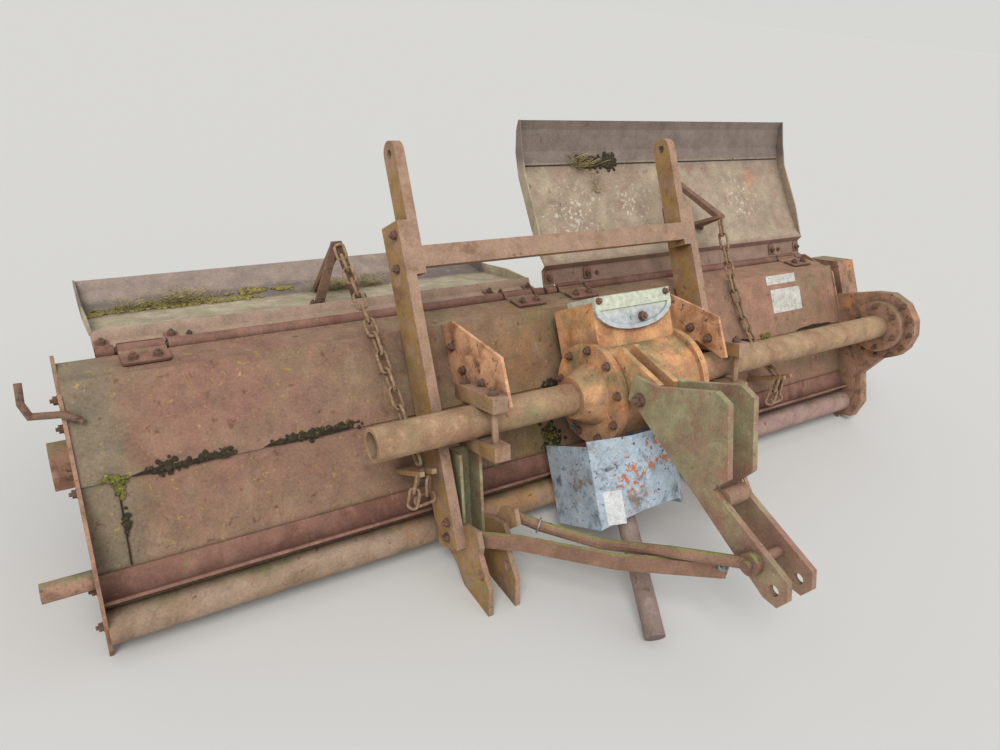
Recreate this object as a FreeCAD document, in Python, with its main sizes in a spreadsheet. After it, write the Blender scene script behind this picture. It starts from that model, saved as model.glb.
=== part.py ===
"""Tractor-mounted rotary cultivator, tipped forward on its clevises and rotor.

Everything is drawn in the level machine's own directions: X across, Y to the rear, Z up, from the
axis of the long drive tube. Each body is then tipped about X and lifted to the height it parks at.
"""
import math
import os
import re

import FreeCAD
import Part
import Sketcher
from FreeCAD import Placement, Rotation, Vector

SIZES = (
    # how it parks
    ("tip_angle", 60, "forward tip of the parked machine, degrees"),
    ("tube_height", 405, "height of the drive tube's axis over the ground"),
    ("middle_x", 1294.5, "from the left end plate to the middle of the whole"),
    ("middle_y", 109.9, "from the drive tube to the middle of the whole, along the ground"),
    # hood
    ("width", 2549, "inside width between the end plates"),
    ("hood_z", -154, "top of the hood below the drive tube"),
    ("hood_sheet", 5, "hood sheet thickness"),
    ("seam_y", 35, "seam between the hood's panels"),
    ("hood_rear_y", 253, "rear edge of the upper panel"),
    ("seam_lap", 30, "lap of the panels at the seam"),
    ("front_tube_y", -268, "front tube axis"),
    ("front_tube_z", -200, "front tube axis"),
    ("front_tube_r", 38, "front tube outside radius"),
    ("front_tube_wall", 6, "front tube wall"),
    ("strip_width", 62, "angle strip along the lower panel's foot"),
    ("strip_thick", 7, "angle strip thickness"),
    ("strip_high", 34, "angle strip height"),
    # flaps
    ("hinge_y", 309, "flap hinge axis"),
    ("hinge_z", -276, "flap hinge axis"),
    ("hinge_rod_r", 8, "hinge rod radius"),
    ("hinge_play", 0.1, "running clearance on the hinge rod"),
    ("knuckle_r", 15, "hinge knuckle outside radius"),
    ("knuckle_length", 100, "hood's hinge knuckle length"),
    ("knuckle_in", 44, "flap's end to the hood's hinge knuckle"),
    ("knuckle_gap", 6, "gap between neighbouring knuckles"),
    ("flap_sheet", 5, "flap sheet thickness"),
    ("flap_reach", 523, "hinge to the flap's lip"),
    ("flap_ridge", 28, "height of the flap's ridge over its hinge"),
    ("cheek_deep", 30, "height of the flap's end cheeks over its sheet"),
    ("cheek_sheet", 5, "cheek thickness"),
    ("bracket_left_x", 702, "left chain bracket's apex"),
    ("bracket_right_x", 1948, "right chain bracket's apex"),
    ("bracket_high", 170, "chain bracket's height over the hinge line"),
    ("bracket_r", 160, "chain bracket's distance from the hinge"),
    ("bracket_spread", 42, "chain bracket's half spread"),
    ("bracket_bar", 26, "chain bracket's bar width"),
    ("bracket_thick", 10, "chain bracket's bar thickness"),
    ("left_flap_angle", -65, "left flap, lowered"),
    ("right_flap_angle", 0, "right flap, raised"),
    ("left_flap_x", 78, "left flap's left end"),
    ("left_flap_length", 1218, "left flap length"),
    ("right_flap_x", 1306, "right flap's left end"),
    ("right_flap_gap", 9, "right flap's right end to the end plate"),
    # ends
    ("end_plate", 8, "end plate thickness"),
    ("rotor_y", 75, "rotor axis"),
    ("rotor_z", -460, "rotor axis"),
    ("rotor_r", 240, "radius over the tines"),
    ("rotor_tube_r", 44, "rotor tube outside radius"),
    ("journal_r", 20, "rotor journal radius"),
    ("journal_play", 0.1, "running clearance on the journals"),
    ("bearing_r", 62, "rotor bearing housing radius"),
    ("bearing_length", 42, "rotor bearing housing length"),
    ("flange_r", 110, "rotor flange radius"),
    ("flange_thick", 10, "rotor flange thickness"),
    ("flange_first", 112, "outer rotor flanges from the end plates"),
    ("tine_width", 52, "tine width"),
    ("tine_thick", 9, "tine foot thickness"),
    ("tine_foot", 95, "length of the tine's foot across"),
    ("case_thick", 38, "chain case thickness"),
    ("case_r", 124, "chain case radius round the drive"),
    ("case_low_r", 95, "chain case radius round the rotor"),
    ("drive_flange", 24, "flange on the drive tube's right end, from the end plate"),
    ("drive_flange_r", 90, "radius of the drive tube's end flange"),
    ("case_box", 134, "chain case's rear box, across"),
    # drive line
    ("tube_r", 41.5, "drive tube outside radius"),
    ("tube_wall", 10, "drive tube wall"),
    ("tube_open_x", 569, "open left end of the drive tube"),
    ("box_x", 1195, "gearbox left face"),
    ("box_width", 313, "gearbox over its side flanges"),
    ("box_drum_r", 126, "gearbox drum radius"),
    ("box_flange_r", 138, "gearbox side flange radius"),
    ("box_flange", 20, "gearbox side flange thickness"),
    ("cover_in", 20.5, "gearbox cover's ends to the side flanges' faces"),
    ("cover_thick", 116, "gearbox cover, front to back"),
    ("cover_low", -55, "back of the gearbox cover"),
    ("cover_rear", 252, "gearbox cover's flat top"),
    ("cover_middle", 215, "start of the cover's round side"),
    ("cover_near", 153, "round side of the cover, nearest the drum"),
    ("box_front", 52, "gearbox front wall round the cover"),
    ("box_rear", 238, "gearbox top rim"),
    ("boss_from", 88, "gearbox side flange to the front boss"),
    ("boss_width", 92, "front boss width"),
    ("neck_r", 56, "gearbox neck radius at the drive tube"),
    ("neck_root_r", 84, "gearbox neck radius at the side flange"),
    ("neck_length", 60, "gearbox neck length"),
    ("hitch_x", 1250, "middle of the hitch"),
    # hitch
    ("mast_out", 471, "middle of the hitch to a lower mast bar's inner face"),
    ("mast_thick", 27, "mast bar thickness"),
    ("mast_z", -46, "upper edge of the mast bars"),
    ("mast_low_deep", 98, "lower mast bar depth"),
    ("mast_high_deep", 66, "upper mast bar depth"),
    ("mast_foot_y", -305, "foot of the masts"),
    ("mast_lap_y", 378, "start of the mast lap"),
    ("mast_lap_end_y", 512, "end of the mast lap"),
    ("mast_top_y", 680, "eye at the top of the masts"),
    ("mast_hole_r", 12, "hole at the mast top"),
    ("crossbar_y", 446, "crossbar upper edge"),
    ("crossbar_deep", 52, "crossbar depth"),
    ("crossbar_thick", 38, "crossbar thickness"),
    ("crossbar_wall", 8, "crossbar wall"),
    ("clevis_gap", 63, "gap between clevis plates"),
    ("clevis_thick", 14, "clevis plate thickness"),
    ("clevis_hole_y", -368, "clevis hole"),
    ("clevis_hole_z", 2, "clevis hole"),
    ("clevis_hole_r", 14.5, "clevis hole radius"),
    ("clamp_tilt", 15, "tilt of the clamps and stands, degrees"),
    ("clamp_left_out", 372, "middle of the hitch to the left clamp"),
    ("clamp_right_out", 427, "middle of the hitch to the right clamp"),
    ("clamp_width", 44, "clamp block width"),
    ("clamp_deep", 38, "clamp block depth"),
    ("clamp_low", 84, "clamp block below the tube axis"),
    ("clamp_high", 96, "clamp block above the tube axis"),
    ("clamp_bolt_r", 9, "clamp bolt radius"),
    ("clamp_bolt_z", 66, "clamp bolts from the tube axis"),
    ("stand_length", 232, "stand channel length"),
    ("stand_wall", 8, "stand channel wall"),
    ("stand_deep", 62, "stand channel depth"),
    ("stand_foot", -66, "back of the stand channel below the tube axis"),
    ("web_out", 364, "middle of the hitch to a hood web"),
    ("web_thick", 8, "hood web thickness"),
    ("web_high", 108, "hood web's top over the tube axis"),
    ("claw_left_x", 684, "left chain claw"),
    ("claw_right_x", 2022, "right chain claw"),
    ("claw_width", 44, "chain claw width"),
    ("claw_thick", 12, "chain claw thickness"),
    ("claw_y", -92, "chain claws' rear face"),
    ("claw_top", -28, "chain claws' tips below the tube axis"),
    ("claw_slot", 14, "slot between the claw's prongs"),
    ("tongue_gap", 66, "gap between the tongue bars"),
    ("tongue_thick", 16, "tongue bar thickness"),
    ("tongue_tip_y", -444, "top link hole"),
    ("tongue_tip_z", 507, "top link hole"),
    ("tongue_hole_r", 13, "top link hole radius"),
    ("pin_y", -388, "brace pin"),
    ("pin_z", 467, "brace pin"),
    ("pin_r", 12, "brace pin radius"),
    ("pin_end", 18, "brace pin's end beyond the right tongue bar"),
    ("brace_deep", 42, "flat brace width"),
    ("brace_thick", 10, "flat brace thickness"),
    ("rod_r", 14, "rod brace radius"),
    ("bracket_plate", 12, "thickness of the rod brace's lug on the inner clevis plate"),
    ("spacer_y", -258, "spacer between the tongue bars"),
    ("spacer_z", 395, "spacer between the tongue bars"),
    ("spacer_r", 22, "spacer radius"),
    ("lock_rod_r", 7.5, "cranked locking rod radius"),
    ("stub_r", 20.5, "stub at the left end, radius"),
    ("stub_length", 94, "stub at the left end, length"),
    ("stub_y", -152, "stub axis"),
    ("stub_z", -150, "stub axis"),
    ("chain_pitch", 48, "chain link's inside length"),
    ("chain_wire", 9, "chain wire"),
    ("chain_sag", 75, "sag of the right chain"),
    ("guard_sheet", 4, "shaft guard sheet"),
    ("guard_length", 235, "shaft guard length"),
    ("guard_y", -112, "rear edge of the shaft guard"),
    ("guard_half", 147, "half width of the shaft guard"),
    ("guard_flat", 63, "half width of the guard's flat top"),
    ("guard_top", 140, "top of the shaft guard"),
    ("guard_fold", 62, "top of the guard's sides"),
    ("guard_low", -128, "foot of the guard's sides"),
    # power shaft
    ("input_y", -174, "universal joint centre"),
    ("input_z", -22, "universal joint centre"),
    ("input_r", 20, "input shaft radius"),
    ("pto_r", 25, "power shaft tube radius"),
    ("pto_wall", 4, "power shaft tube wall"),
    ("fork_reach", 34, "universal joint centre to the fork's root"),
    ("fork_gap", 60, "gap between the fork's ears"),
    ("fork_ear", 12, "fork ear thickness"),
    ("fork_r", 20, "fork ear radius"),
    ("joint_pin_r", 9, "joint pin radius"),
    ("joint_boss_r", 17, "boss on the shaft's end"),
    ("joint_boss_length", 44, "boss length"),
    ("neck_start", 38, "universal joint to the start of the shaft's tube"),
    ("neck_shaft_r", 15, "neck between the boss and the tube"),
    ("joint_play", 0.1, "running clearance on the joint pin"),
    ("pto_drop", 27.6, "droop of the shaft, degrees"),
    ("pto_slew", 18.8, "slew of the shaft to the left, degrees"),
)
ALIASES = {alias for alias, value, note in SIZES}

doc = FreeCAD.newDocument("RotaryCultivator")
sheet = doc.addObject("Spreadsheet::Sheet", "Sizes")
for row, (alias, value, note) in enumerate(SIZES, 1):
    sheet.set(f"A{row}", note)
    sheet.set(f"B{row}", str(value))
    sheet.setAlias(f"B{row}", alias)
doc.recompute()


def full(text):
    """An expression with its bare size names made into sheet references."""
    return re.sub(r"[a-z_]+", lambda m: "Sizes." + m[0] if m[0] in ALIASES else m[0], str(text))


def size(alias):
    return float(getattr(sheet, alias))


def bind(item, prop, text):
    item.setExpression(prop, full(text))


def place(item, x="0", y="0", z="0", turn="0"):
    """Set a body at a point of the level machine and tip it with the machine."""
    item.Placement = Placement(Vector(0, 0, 0), Rotation(Vector(1, 0, 0), 60))
    bind(item, "Placement.Base.x", f"({x}) - middle_x")
    bind(item, "Placement.Base.y", f"({y}) * cos(tip_angle) - ({z}) * sin(tip_angle) - middle_y")
    bind(item, "Placement.Base.z", f"({y}) * sin(tip_angle) + ({z}) * cos(tip_angle) + tube_height")
    bind(item, "Placement.Rotation.Angle", f"tip_angle + ({turn})")


def new_body(node, **where):
    item = doc.addObject("PartDesign::Body", node)
    item.Label = node
    place(item, **where)
    return item


def plane(body, role):
    return next(f for f in body.Origin.OriginFeatures if f.Role == role)


def new_sketch(body, role="YZ_Plane", offset="0"):
    drawn = body.newObject("Sketcher::SketchObject", body.Name + "_drawn")
    drawn.AttachmentSupport = [(plane(body, role), "")]
    drawn.MapMode = "FlatFace"
    if offset != "0":
        bind(drawn, "AttachmentOffset.Base.z", offset)
    return drawn


def outline(drawn, points):
    """Closed outline through points given as pairs of expressions."""
    count = len(points)
    ring = [Vector(50 * math.cos(2 * math.pi * i / count), 50 * math.sin(2 * math.pi * i / count), 0)
            for i in range(count)]
    first = len(drawn.Geometry)
    for i in range(count):
        drawn.addGeometry(Part.LineSegment(ring[i], ring[(i + 1) % count]), False)
    for i in range(count):
        drawn.addConstraint(Sketcher.Constraint("Coincident", first + i, 2, first + (i + 1) % count, 1))
    for i, (across, up) in enumerate(points):
        for kind, text in (("DistanceX", across), ("DistanceY", up)):
            at = drawn.addConstraint(Sketcher.Constraint(kind, -1, 1, first + i, 1, 1.0))
            drawn.setExpression(f"Constraints[{at}]", full(text))


def circle(drawn, across, up, radius):
    at = drawn.addGeometry(Part.Circle(Vector(1, 1, 0), Vector(0, 0, 1), 5), False)
    for kind, text in (("DistanceX", across), ("DistanceY", up)):
        n = drawn.addConstraint(Sketcher.Constraint(kind, -1, 1, at, 3, 1.0))
        drawn.setExpression(f"Constraints[{n}]", full(text))
    n = drawn.addConstraint(Sketcher.Constraint("Radius", at, 5.0))
    drawn.setExpression(f"Constraints[{n}]", full(radius))


def pad(body, drawn, length, kind="Pad", reversed_=False):
    made = body.newObject("PartDesign::" + kind, body.Name + "_" + kind.lower())
    made.Profile = drawn
    made.Type = "Length" if kind == "Pad" else 0
    made.Reversed = reversed_
    bind(made, "Length", length)
    drawn.Visibility = False
    return made


def plate(node, points, x, thick, holes=(), y="0", z="0", turn="0", role="YZ_Plane", start="0"):
    """A body drawn on one plane and padded: across the machine unless another plane is named."""
    body = new_body(node, x=x, y=y, z=z, turn=turn)
    drawn = new_sketch(body, role, start)
    outline(drawn, points)
    for hole in holes:
        circle(drawn, *hole)
    pad(body, drawn, thick)
    return body


def more(body, points, start, thick, holes=(), role="YZ_Plane"):
    """Another padded outline on the same body, starting at its own distance."""
    drawn = new_sketch(body, role, offset=start)
    if points:
        outline(drawn, points)
    for hole in holes:
        circle(drawn, *hole)
    return pad(body, drawn, thick)


def tube(node, x, length, radius, bore=None, y="0", z="0"):
    body = new_body(node, x=x, y=y, z=z)
    drawn = new_sketch(body)
    circle(drawn, "0", "0", radius)
    if bore:
        circle(drawn, "0", "0", bore)
    pad(body, drawn, length)
    return body


def sided(y, z, radius, count):
    """Corners of an even-sided outline about a point."""
    turns = [math.pi * (2 * k + 1) / count for k in range(count)]
    return tuple((f"({y}) + ({radius}) * {math.cos(t):.5f}", f"({z}) + ({radius}) * {math.sin(t):.5f}") for t in turns)


# ---- hood ----------------------------------------------------------------------------------------
plate("hood_upper_panel",
      (("seam_y", "hood_z"), ("hood_rear_y", "hood_z"), ("hood_rear_y", "hood_z - hood_sheet"),
       ("seam_y", "hood_z - hood_sheet")), "0", "width")
foot_y, foot_z = "(front_tube_y + front_tube_r)", "front_tube_z"


def panel(y, over="0"):
    """Height of the lower panel's upper face at a distance along the machine."""
    slope = f"(hood_z - hood_sheet - {foot_z}) / (seam_y - {foot_y})"
    return f"({foot_z} + (({y}) - {foot_y}) * {slope} + ({over}))"


plate("hood_lower_panel",
      (("seam_y + seam_lap", "hood_z - hood_sheet"), ("seam_y", "hood_z - hood_sheet"), (foot_y, foot_z),
       (foot_y, f"{foot_z} - hood_sheet"), ("seam_y", "hood_z - 2 * hood_sheet"),
       ("seam_y + seam_lap", "hood_z - 2 * hood_sheet")), "0", "width")
plate("hood_rear_panel",
      (("hood_rear_y - 14", "hood_z - hood_sheet"), ("hood_rear_y - 7", "hood_z - hood_sheet"),
       ("hinge_y - 9", "hinge_z + 21"), ("hinge_y - 16", "hinge_z + 19")), "0", "width")
tube("front_tube", "0", "width", "front_tube_r", "front_tube_r - front_tube_wall",
     "front_tube_y", "front_tube_z")
strip_y = f"{foot_y} + 14"
plate("front_angle_strip",
      ((strip_y, panel(strip_y)), (f"{strip_y} + strip_width", panel(f"{strip_y} + strip_width")),
       (f"{strip_y} + strip_width", panel(f"{strip_y} + strip_width", "strip_thick")),
       (f"{strip_y} + strip_thick", panel(f"{strip_y} + strip_thick", "strip_thick")),
       (f"{strip_y} + strip_thick", panel(strip_y, "strip_high")), (strip_y, panel(strip_y, "strip_high"))), "0", "width")

# ---- ends ----------------------------------------------------------------------------------------
end_points = (("hood_rear_y - 27", "hood_z + 3"), ("seam_y", "hood_z + 6"), ("-150", "-120"), ("-250", "-150"),
              ("front_tube_y - 68", "front_tube_z - 28"), ("-20", "-505"), ("rotor_y - 40", "rotor_z - 90"),
              ("rotor_y + 40", "rotor_z - 88"), ("rotor_y + 95", "rotor_z - 10"), ("270", "-330"),
              ("hinge_y + 12", "hinge_z - 20"), ("hinge_y + 6", "hinge_z + 20"))
end = plate("left_end_plate", end_points, "-end_plate", "end_plate",
            (("rotor_y", "rotor_z", "journal_r + 8"),))
more(end, sided("rotor_y", "rotor_z", "bearing_r", 8), "-bearing_length", "bearing_length",
     (("rotor_y", "rotor_z", "journal_r + journal_play"),))
more(end, (), "-stub_length", "stub_length", (("stub_y", "stub_z", "stub_r"),))
plate("right_end_plate", end_points, "width", "end_plate",
      (("rotor_y", "rotor_z", "journal_r + 8"),))
case = plate("chain_case",
             (("-0.766 * case_r", "0.643 * case_r"), ("-0.94 * case_r", "0.342 * case_r"), ("-0.985 * case_r", "-0.17 * case_r"),
              ("-171", "-107"), ("-282", "-125"), ("-335", "-176"), ("-322", "-236"), ("-250", "-240"), ("-100", "-200"),
              ("rotor_y - case_low_r", "rotor_z"), ("rotor_y - 67", "rotor_z - 67"), ("rotor_y", "rotor_z - case_low_r"),
              ("rotor_y + 67", "rotor_z - 67"), ("rotor_y + case_low_r", "rotor_z"), ("case_r", "0"),
              ("0.866 * case_r", "0.5 * case_r"), ("0.5 * case_r", "0.866 * case_r"), ("0", "case_r"),
              ("-0.423 * case_r", "0.906 * case_r")), "width + end_plate", "case_thick",
             (("rotor_y", "rotor_z", "journal_r + journal_play"),))
plate("chain_case_box",
      (("131", "hood_z + 2"), ("hood_rear_y + 8", "hood_z + 2"), ("hinge_y - 10", "-270"), ("262", "-380"), ("rotor_y + 70", "rotor_z - 40"),
       ("rotor_y + 30", "rotor_z - 60"), ("rotor_y + 30", "rotor_z + 60"), ("131", "-250")), "width + end_plate + case_thick",
      "case_box - case_thick")
more(case, (), "-end_plate - drive_flange", "end_plate + drive_flange", (("0", "0", "drive_flange_r"),))

# ---- drive line ----------------------------------------------------------------------------------
tube("drive_tube_left", "tube_open_x", "box_x - neck_length - tube_open_x", "tube_r", "tube_r - tube_wall")
tube("drive_tube_right", "box_x + box_width + neck_length", "width - drive_flange - box_x - box_width - neck_length",
     "tube_r", "tube_r - tube_wall")
house = tube("gearbox_housing", "box_x + box_flange", "box_width - 2 * box_flange", "box_drum_r")
more(house, (("60", "-118"), ("60", "box_front"), ("box_rear", "box_front"), ("box_rear", "-118")), "0", "box_width - 2 * box_flange")
more(house, (("-100", "-20"), ("guard_y + 8", "60"), ("-60", "125"), ("20", "140"), ("60", "100"), ("60", "-100"), ("-60", "-110")),
     "boss_from", "boss_width")
more(house, (("-70", "60"), ("guard_y - 6", "110"), ("guard_y - 6", "guard_top - guard_sheet"), ("-60", "guard_top - guard_sheet")),
     "boss_from", "20")
for start in ("-box_flange", "box_width - 2 * box_flange"):
    more(house, (), start, "box_flange", (("0", "0", "box_flange_r"),))
for start in ("-box_flange - neck_length", "box_width - box_flange"):
    more(house, (), start, "neck_length", (("0", "0", "neck_r"),))
for start, wide, narrow in (("-box_flange - neck_length", "neck_r", "neck_root_r"), ("box_width - box_flange", "neck_root_r", "neck_r")):
    neck = house.newObject("PartDesign::AdditiveCone", "gearbox_neck")
    neck.AttachmentSupport = [(plane(house, "YZ_Plane"), "")]
    neck.MapMode = "FlatFace"
    for prop, text in (("AttachmentOffset.Base.z", start), ("Radius1", wide), ("Radius2", narrow), ("Height", "neck_length")):
        bind(neck, prop, text)
cover_half = "(box_width / 2 - cover_in)"
cover_points = [(f"0.98 * {cover_half}", "cover_rear"), (f"-0.98 * {cover_half}", "cover_rear")]
for turn in range(-90, 91, 15):
    cover_points.append((f"{cover_half} * {math.sin(math.radians(turn)):.4f}",
                         f"cover_middle - (cover_middle - cover_near) * {math.cos(math.radians(turn)):.4f}"))
drawn = new_sketch(house, "XY_Plane", offset="cover_low")
outline(drawn, [(f"box_width / 2 - box_flange + {across}", up) for across, up in cover_points])
pad(house, drawn, "cover_thick", "Pocket", True)
plate("gearbox_cover", cover_points, "box_x + box_width / 2", "cover_thick", z="cover_low", role="XY_Plane")
for k, at in ((1, "hitch_x - tongue_gap / 2"), (-1, "hitch_x + tongue_gap / 2 - tongue_thick")):
    foot = [(f"(box_drum_r - 4) * cos(75) + ({k * way}) * 60 * sin(75)", f"(box_drum_r - 4) * sin(75) - ({k * way}) * 60 * cos(75)")
            for way in (k, -k)]
    more(house, (foot[0], ("112", "130"), ("8", "252"), ("-34", "222"), ("-58", "150"), foot[1]),
         f"{at} - box_x - box_flange", "tongue_thick")
plate("shaft_guard",
      (("-guard_half", "guard_low"), ("-guard_half", "guard_fold"), ("-guard_flat", "guard_top"),
       ("guard_flat", "guard_top"), ("guard_half", "guard_fold"), ("guard_half", "guard_low"),
       ("guard_half - guard_sheet", "guard_low"), ("guard_half - guard_sheet", "guard_fold - 2"),
       ("guard_flat - 2", "guard_top - guard_sheet"), ("2 - guard_flat", "guard_top - guard_sheet"),
       ("guard_sheet - guard_half", "guard_fold - 2"), ("guard_sheet - guard_half", "guard_low")),
      "hitch_x + 12", "guard_length", y="guard_y", role="XZ_Plane")
guard = doc.getObject("shaft_guard")
drawn = new_sketch(guard, offset="-guard_half - 1")
outline(drawn, (("-guard_length - 5", "guard_fold - 5"), ("-guard_length", "guard_fold - 5"), ("45 - guard_length", "guard_top + 5"),
                ("-guard_length - 5", "guard_top + 5")))
pad(guard, drawn, "2 * guard_half + 2", "Pocket", True)
drawn = new_sketch(guard, offset="-guard_half - 1")
outline(drawn, (("-box_drum_r - 0.2 - guard_y", "guard_low - 5"), ("5", "guard_low - 5"), ("5", "guard_fold - 4"),
                ("-box_drum_r - 0.2 - guard_y", "guard_fold - 4")))
pad(guard, drawn, "2 * guard_half + 2", "Pocket", True)

# ---- masts ---------------------------------------------------------------------------------------
def beside(side, out, thick):
    """Left face of a piece that stands a given way out from the middle of the hitch."""
    return f"hitch_x + ({out})" if side == "right" else f"hitch_x - ({out}) - ({thick})"


for side in ("left", "right"):
    plate(f"mast_lower_{side}",
          (("mast_foot_y", "mast_z"), ("mast_lap_end_y", "mast_z"), ("mast_lap_end_y", "mast_z - mast_low_deep"),
           ("mast_foot_y", "mast_z - mast_low_deep")), beside(side, "mast_out", "mast_thick"), "mast_thick")
    mast = plate(f"mast_upper_{side}",
                 (("mast_lap_y", "mast_z"), ("mast_top_y", "mast_z"), ("mast_top_y", "mast_z - mast_high_deep"),
                  ("mast_lap_y", "mast_z - mast_high_deep")), beside(side, "mast_out - mast_thick", "mast_thick"), "mast_thick")
    more(mast, (), "0", "mast_thick", (("mast_top_y", "mast_z - mast_high_deep / 2", "mast_high_deep / 2"),))
    drawn = new_sketch(mast, offset="-1")
    circle(drawn, "mast_top_y", "mast_z - mast_high_deep / 2", "mast_hole_r")
    pad(mast, drawn, "mast_thick + 2", "Pocket", True)
    out = f"clamp_{side}_out"
    at = beside(side, out, "clamp_width")
    clamp = plate(f"clamp_{side}",
                  (("tube_r", "-clamp_low"), ("tube_r + clamp_deep", "-clamp_low"), ("tube_r + clamp_deep", "clamp_high"),
                   ("tube_r", "clamp_high")), at, "clamp_width", turn="clamp_tilt")
    for up in ("clamp_bolt_z", "-clamp_bolt_z"):
        drawn = new_sketch(clamp, "XZ_Plane", offset="tube_r + clamp_deep")
        outline(drawn, sided("clamp_width / 2", up, "clamp_bolt_r", 8))
        pad(clamp, drawn, "2 * tube_r + clamp_deep", reversed_=True)
    more(clamp, (("-tube_r", "-clamp_low"), ("-tube_r - clamp_deep", "-clamp_low"), ("-tube_r - clamp_deep", "clamp_high"),
                 ("-tube_r", "clamp_high")), "0", "clamp_width")
    high = "stand_foot + stand_deep"
    plate(f"stand_{side}",
          (("0", "stand_foot"), ("clevis_gap", "stand_foot"), ("clevis_gap", high), ("clevis_gap - stand_wall", high),
           ("clevis_gap - stand_wall", "stand_foot + stand_wall"), ("stand_wall", "stand_foot + stand_wall"),
           ("stand_wall", high), ("0", high)), beside(side, "mast_out - clevis_thick - clevis_gap", "clevis_gap"),
          "stand_length", turn="clamp_tilt", role="XZ_Plane", start="tube_r + clamp_deep")
    for which, out in (("outer", "mast_out - clevis_thick"), ("inner", "mast_out - 2 * clevis_thick - clevis_gap")):
        ear = plate(f"clevis_{which}_{side}",
              (("-250", "-142"), ("-321", "-154"), ("-358", "-120"), ("-411", "-98"), ("-470", "4.1"), ("-398", "30"),
               ("-318", "10"), ("-300", "22"), ("-260", "22"), ("-250", "-30")),
              beside(side, out, "clevis_thick"), "clevis_thick",
              (("clevis_hole_y", "clevis_hole_z", "clevis_hole_r"),))
        if (which, side) == ("inner", "left"):
            more(ear, (("-252", "-100"), ("-300", "-60"), ("-264", "60"), ("-222", "60"), ("-222", "0"), ("-252", "-40")),
                 "clevis_thick", "bracket_plate")
    web = plate(f"hood_web_{side}",
                (("84", "hood_z"), ("84", "13"), ("24", "web_high - 12"), ("24", "web_high + 4"), ("142", "web_high"),
                 ("hood_rear_y", "-100"), ("hood_rear_y", "hood_z")), beside(side, "web_out", "web_thick"), "web_thick")
    low = panel("claw_y", "0.1")
    plate(f"chain_claw_{side}",
          (("0", low), ("claw_width", low), ("claw_width", "claw_top"), ("claw_width - 12", "claw_top"),
           ("(claw_width + claw_slot) / 2", "claw_top - 42"), ("(claw_width - claw_slot) / 2", "claw_top - 42"),
           ("12", "claw_top"), ("0", "claw_top")), f"claw_{side}_x", "claw_thick", y="claw_y", role="XZ_Plane")
plate("mast_crossbar",
      (("crossbar_y", "mast_z"), ("crossbar_y - crossbar_deep", "mast_z"), ("crossbar_y - crossbar_deep", "mast_z - crossbar_thick"),
       ("crossbar_y - crossbar_deep + crossbar_wall", "mast_z - crossbar_thick"),
       ("crossbar_y - crossbar_deep + crossbar_wall", "mast_z - crossbar_wall"), ("crossbar_y", "mast_z - crossbar_wall")),
      "hitch_x - mast_out + mast_thick", "2 * (mast_out - mast_thick)")

# ---- tongue --------------------------------------------------------------------------------------
for name, at in (("left", "hitch_x - tongue_gap / 2 - tongue_thick"), ("right", "hitch_x + tongue_gap / 2")):
    bar = plate(f"tongue_{name}",
                (("40", "185"), ("6", "262"), ("-12", "440"), ("-43", "470"), ("-210", "432"), ("-235", "383"),
                 ("tongue_tip_y + 22", "tongue_tip_z + 40"), ("tongue_tip_y - 20", "tongue_tip_z + 30"),
                 ("tongue_tip_y - 38", "tongue_tip_z"), ("tongue_tip_y - 20", "tongue_tip_z - 32"),
                 ("-49", "180"), ("-20", "150")), at, "tongue_thick", (("tongue_tip_y", "tongue_tip_z", "tongue_hole_r"),))
    if name == "left":
        more(bar, (), "tongue_thick", "tongue_gap", (("pin_y", "pin_z", "pin_r"), ("spacer_y", "spacer_z", "spacer_r")))
    else:
        more(bar, (), "tongue_thick", "pin_end", (("pin_y", "pin_z", "pin_r"),))

doc.recompute()


def solid(node, shape):
    """A bent bar or rod, made in the level machine's directions and tipped with it."""
    item = doc.addObject("Part::Feature", node)
    item.Label = node
    item.Shape = shape
    place(item)
    return item


def slab(low, high):
    """Everything between two planes across the machine."""
    return Part.makeBox(high - low, 4000, 4000, Vector(low, -2000, -2000))


def bar_run(points, deep, thick):
    """Flat bar bent about its thin side along points, mitred at the bends."""
    chord = (points[-1] - points[0]).normalize()
    rear = Vector(0, 0.866, 0.5)
    up = (rear - chord * rear.dot(chord)).normalize() * (deep / 2)
    ways = [(b - a).normalize() for a, b in zip(points, points[1:])]
    rings = []
    for at, before, after in zip(points, ways[:1] + ways, ways + ways[-1:]):
        along = (before + after).normalize()
        side = up.cross(along).normalize() * (thick / 2 / along.dot(after))
        rings.append([at + up + side, at - up + side, at - up - side, at + up - side])
    facets = [rings[0][:3], rings[0][2:] + rings[0][:1], rings[-1][:3], rings[-1][2:] + rings[-1][:1]]
    for first, second in zip(rings, rings[1:]):
        for k in range(4):
            a, b, c, d = first[k], first[k - 1], second[k - 1], second[k]
            facets += [[a, b, c], [a, c, d]]
    run = Part.Solid(Part.Shell([Part.Face(Part.makePolygon(facet + facet[:1])) for facet in facets]))
    run.fix(0.01, 0.01, 0.01)
    return run


def rod_run(points, radius):
    """Rod along points, mitred at the bends, with twelve flats."""
    along = (points[1] - points[0]).normalize()
    side = along.cross(Vector(0.1, 0.8, 0.6)).normalize()
    section = [points[0] + Rotation(along, 30 * k).multVec(side) * radius for k in range(12)]
    return Part.makePolygon(points).makePipeShell([Part.makePolygon(section + section[:1])], True, False, 1)


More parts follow.
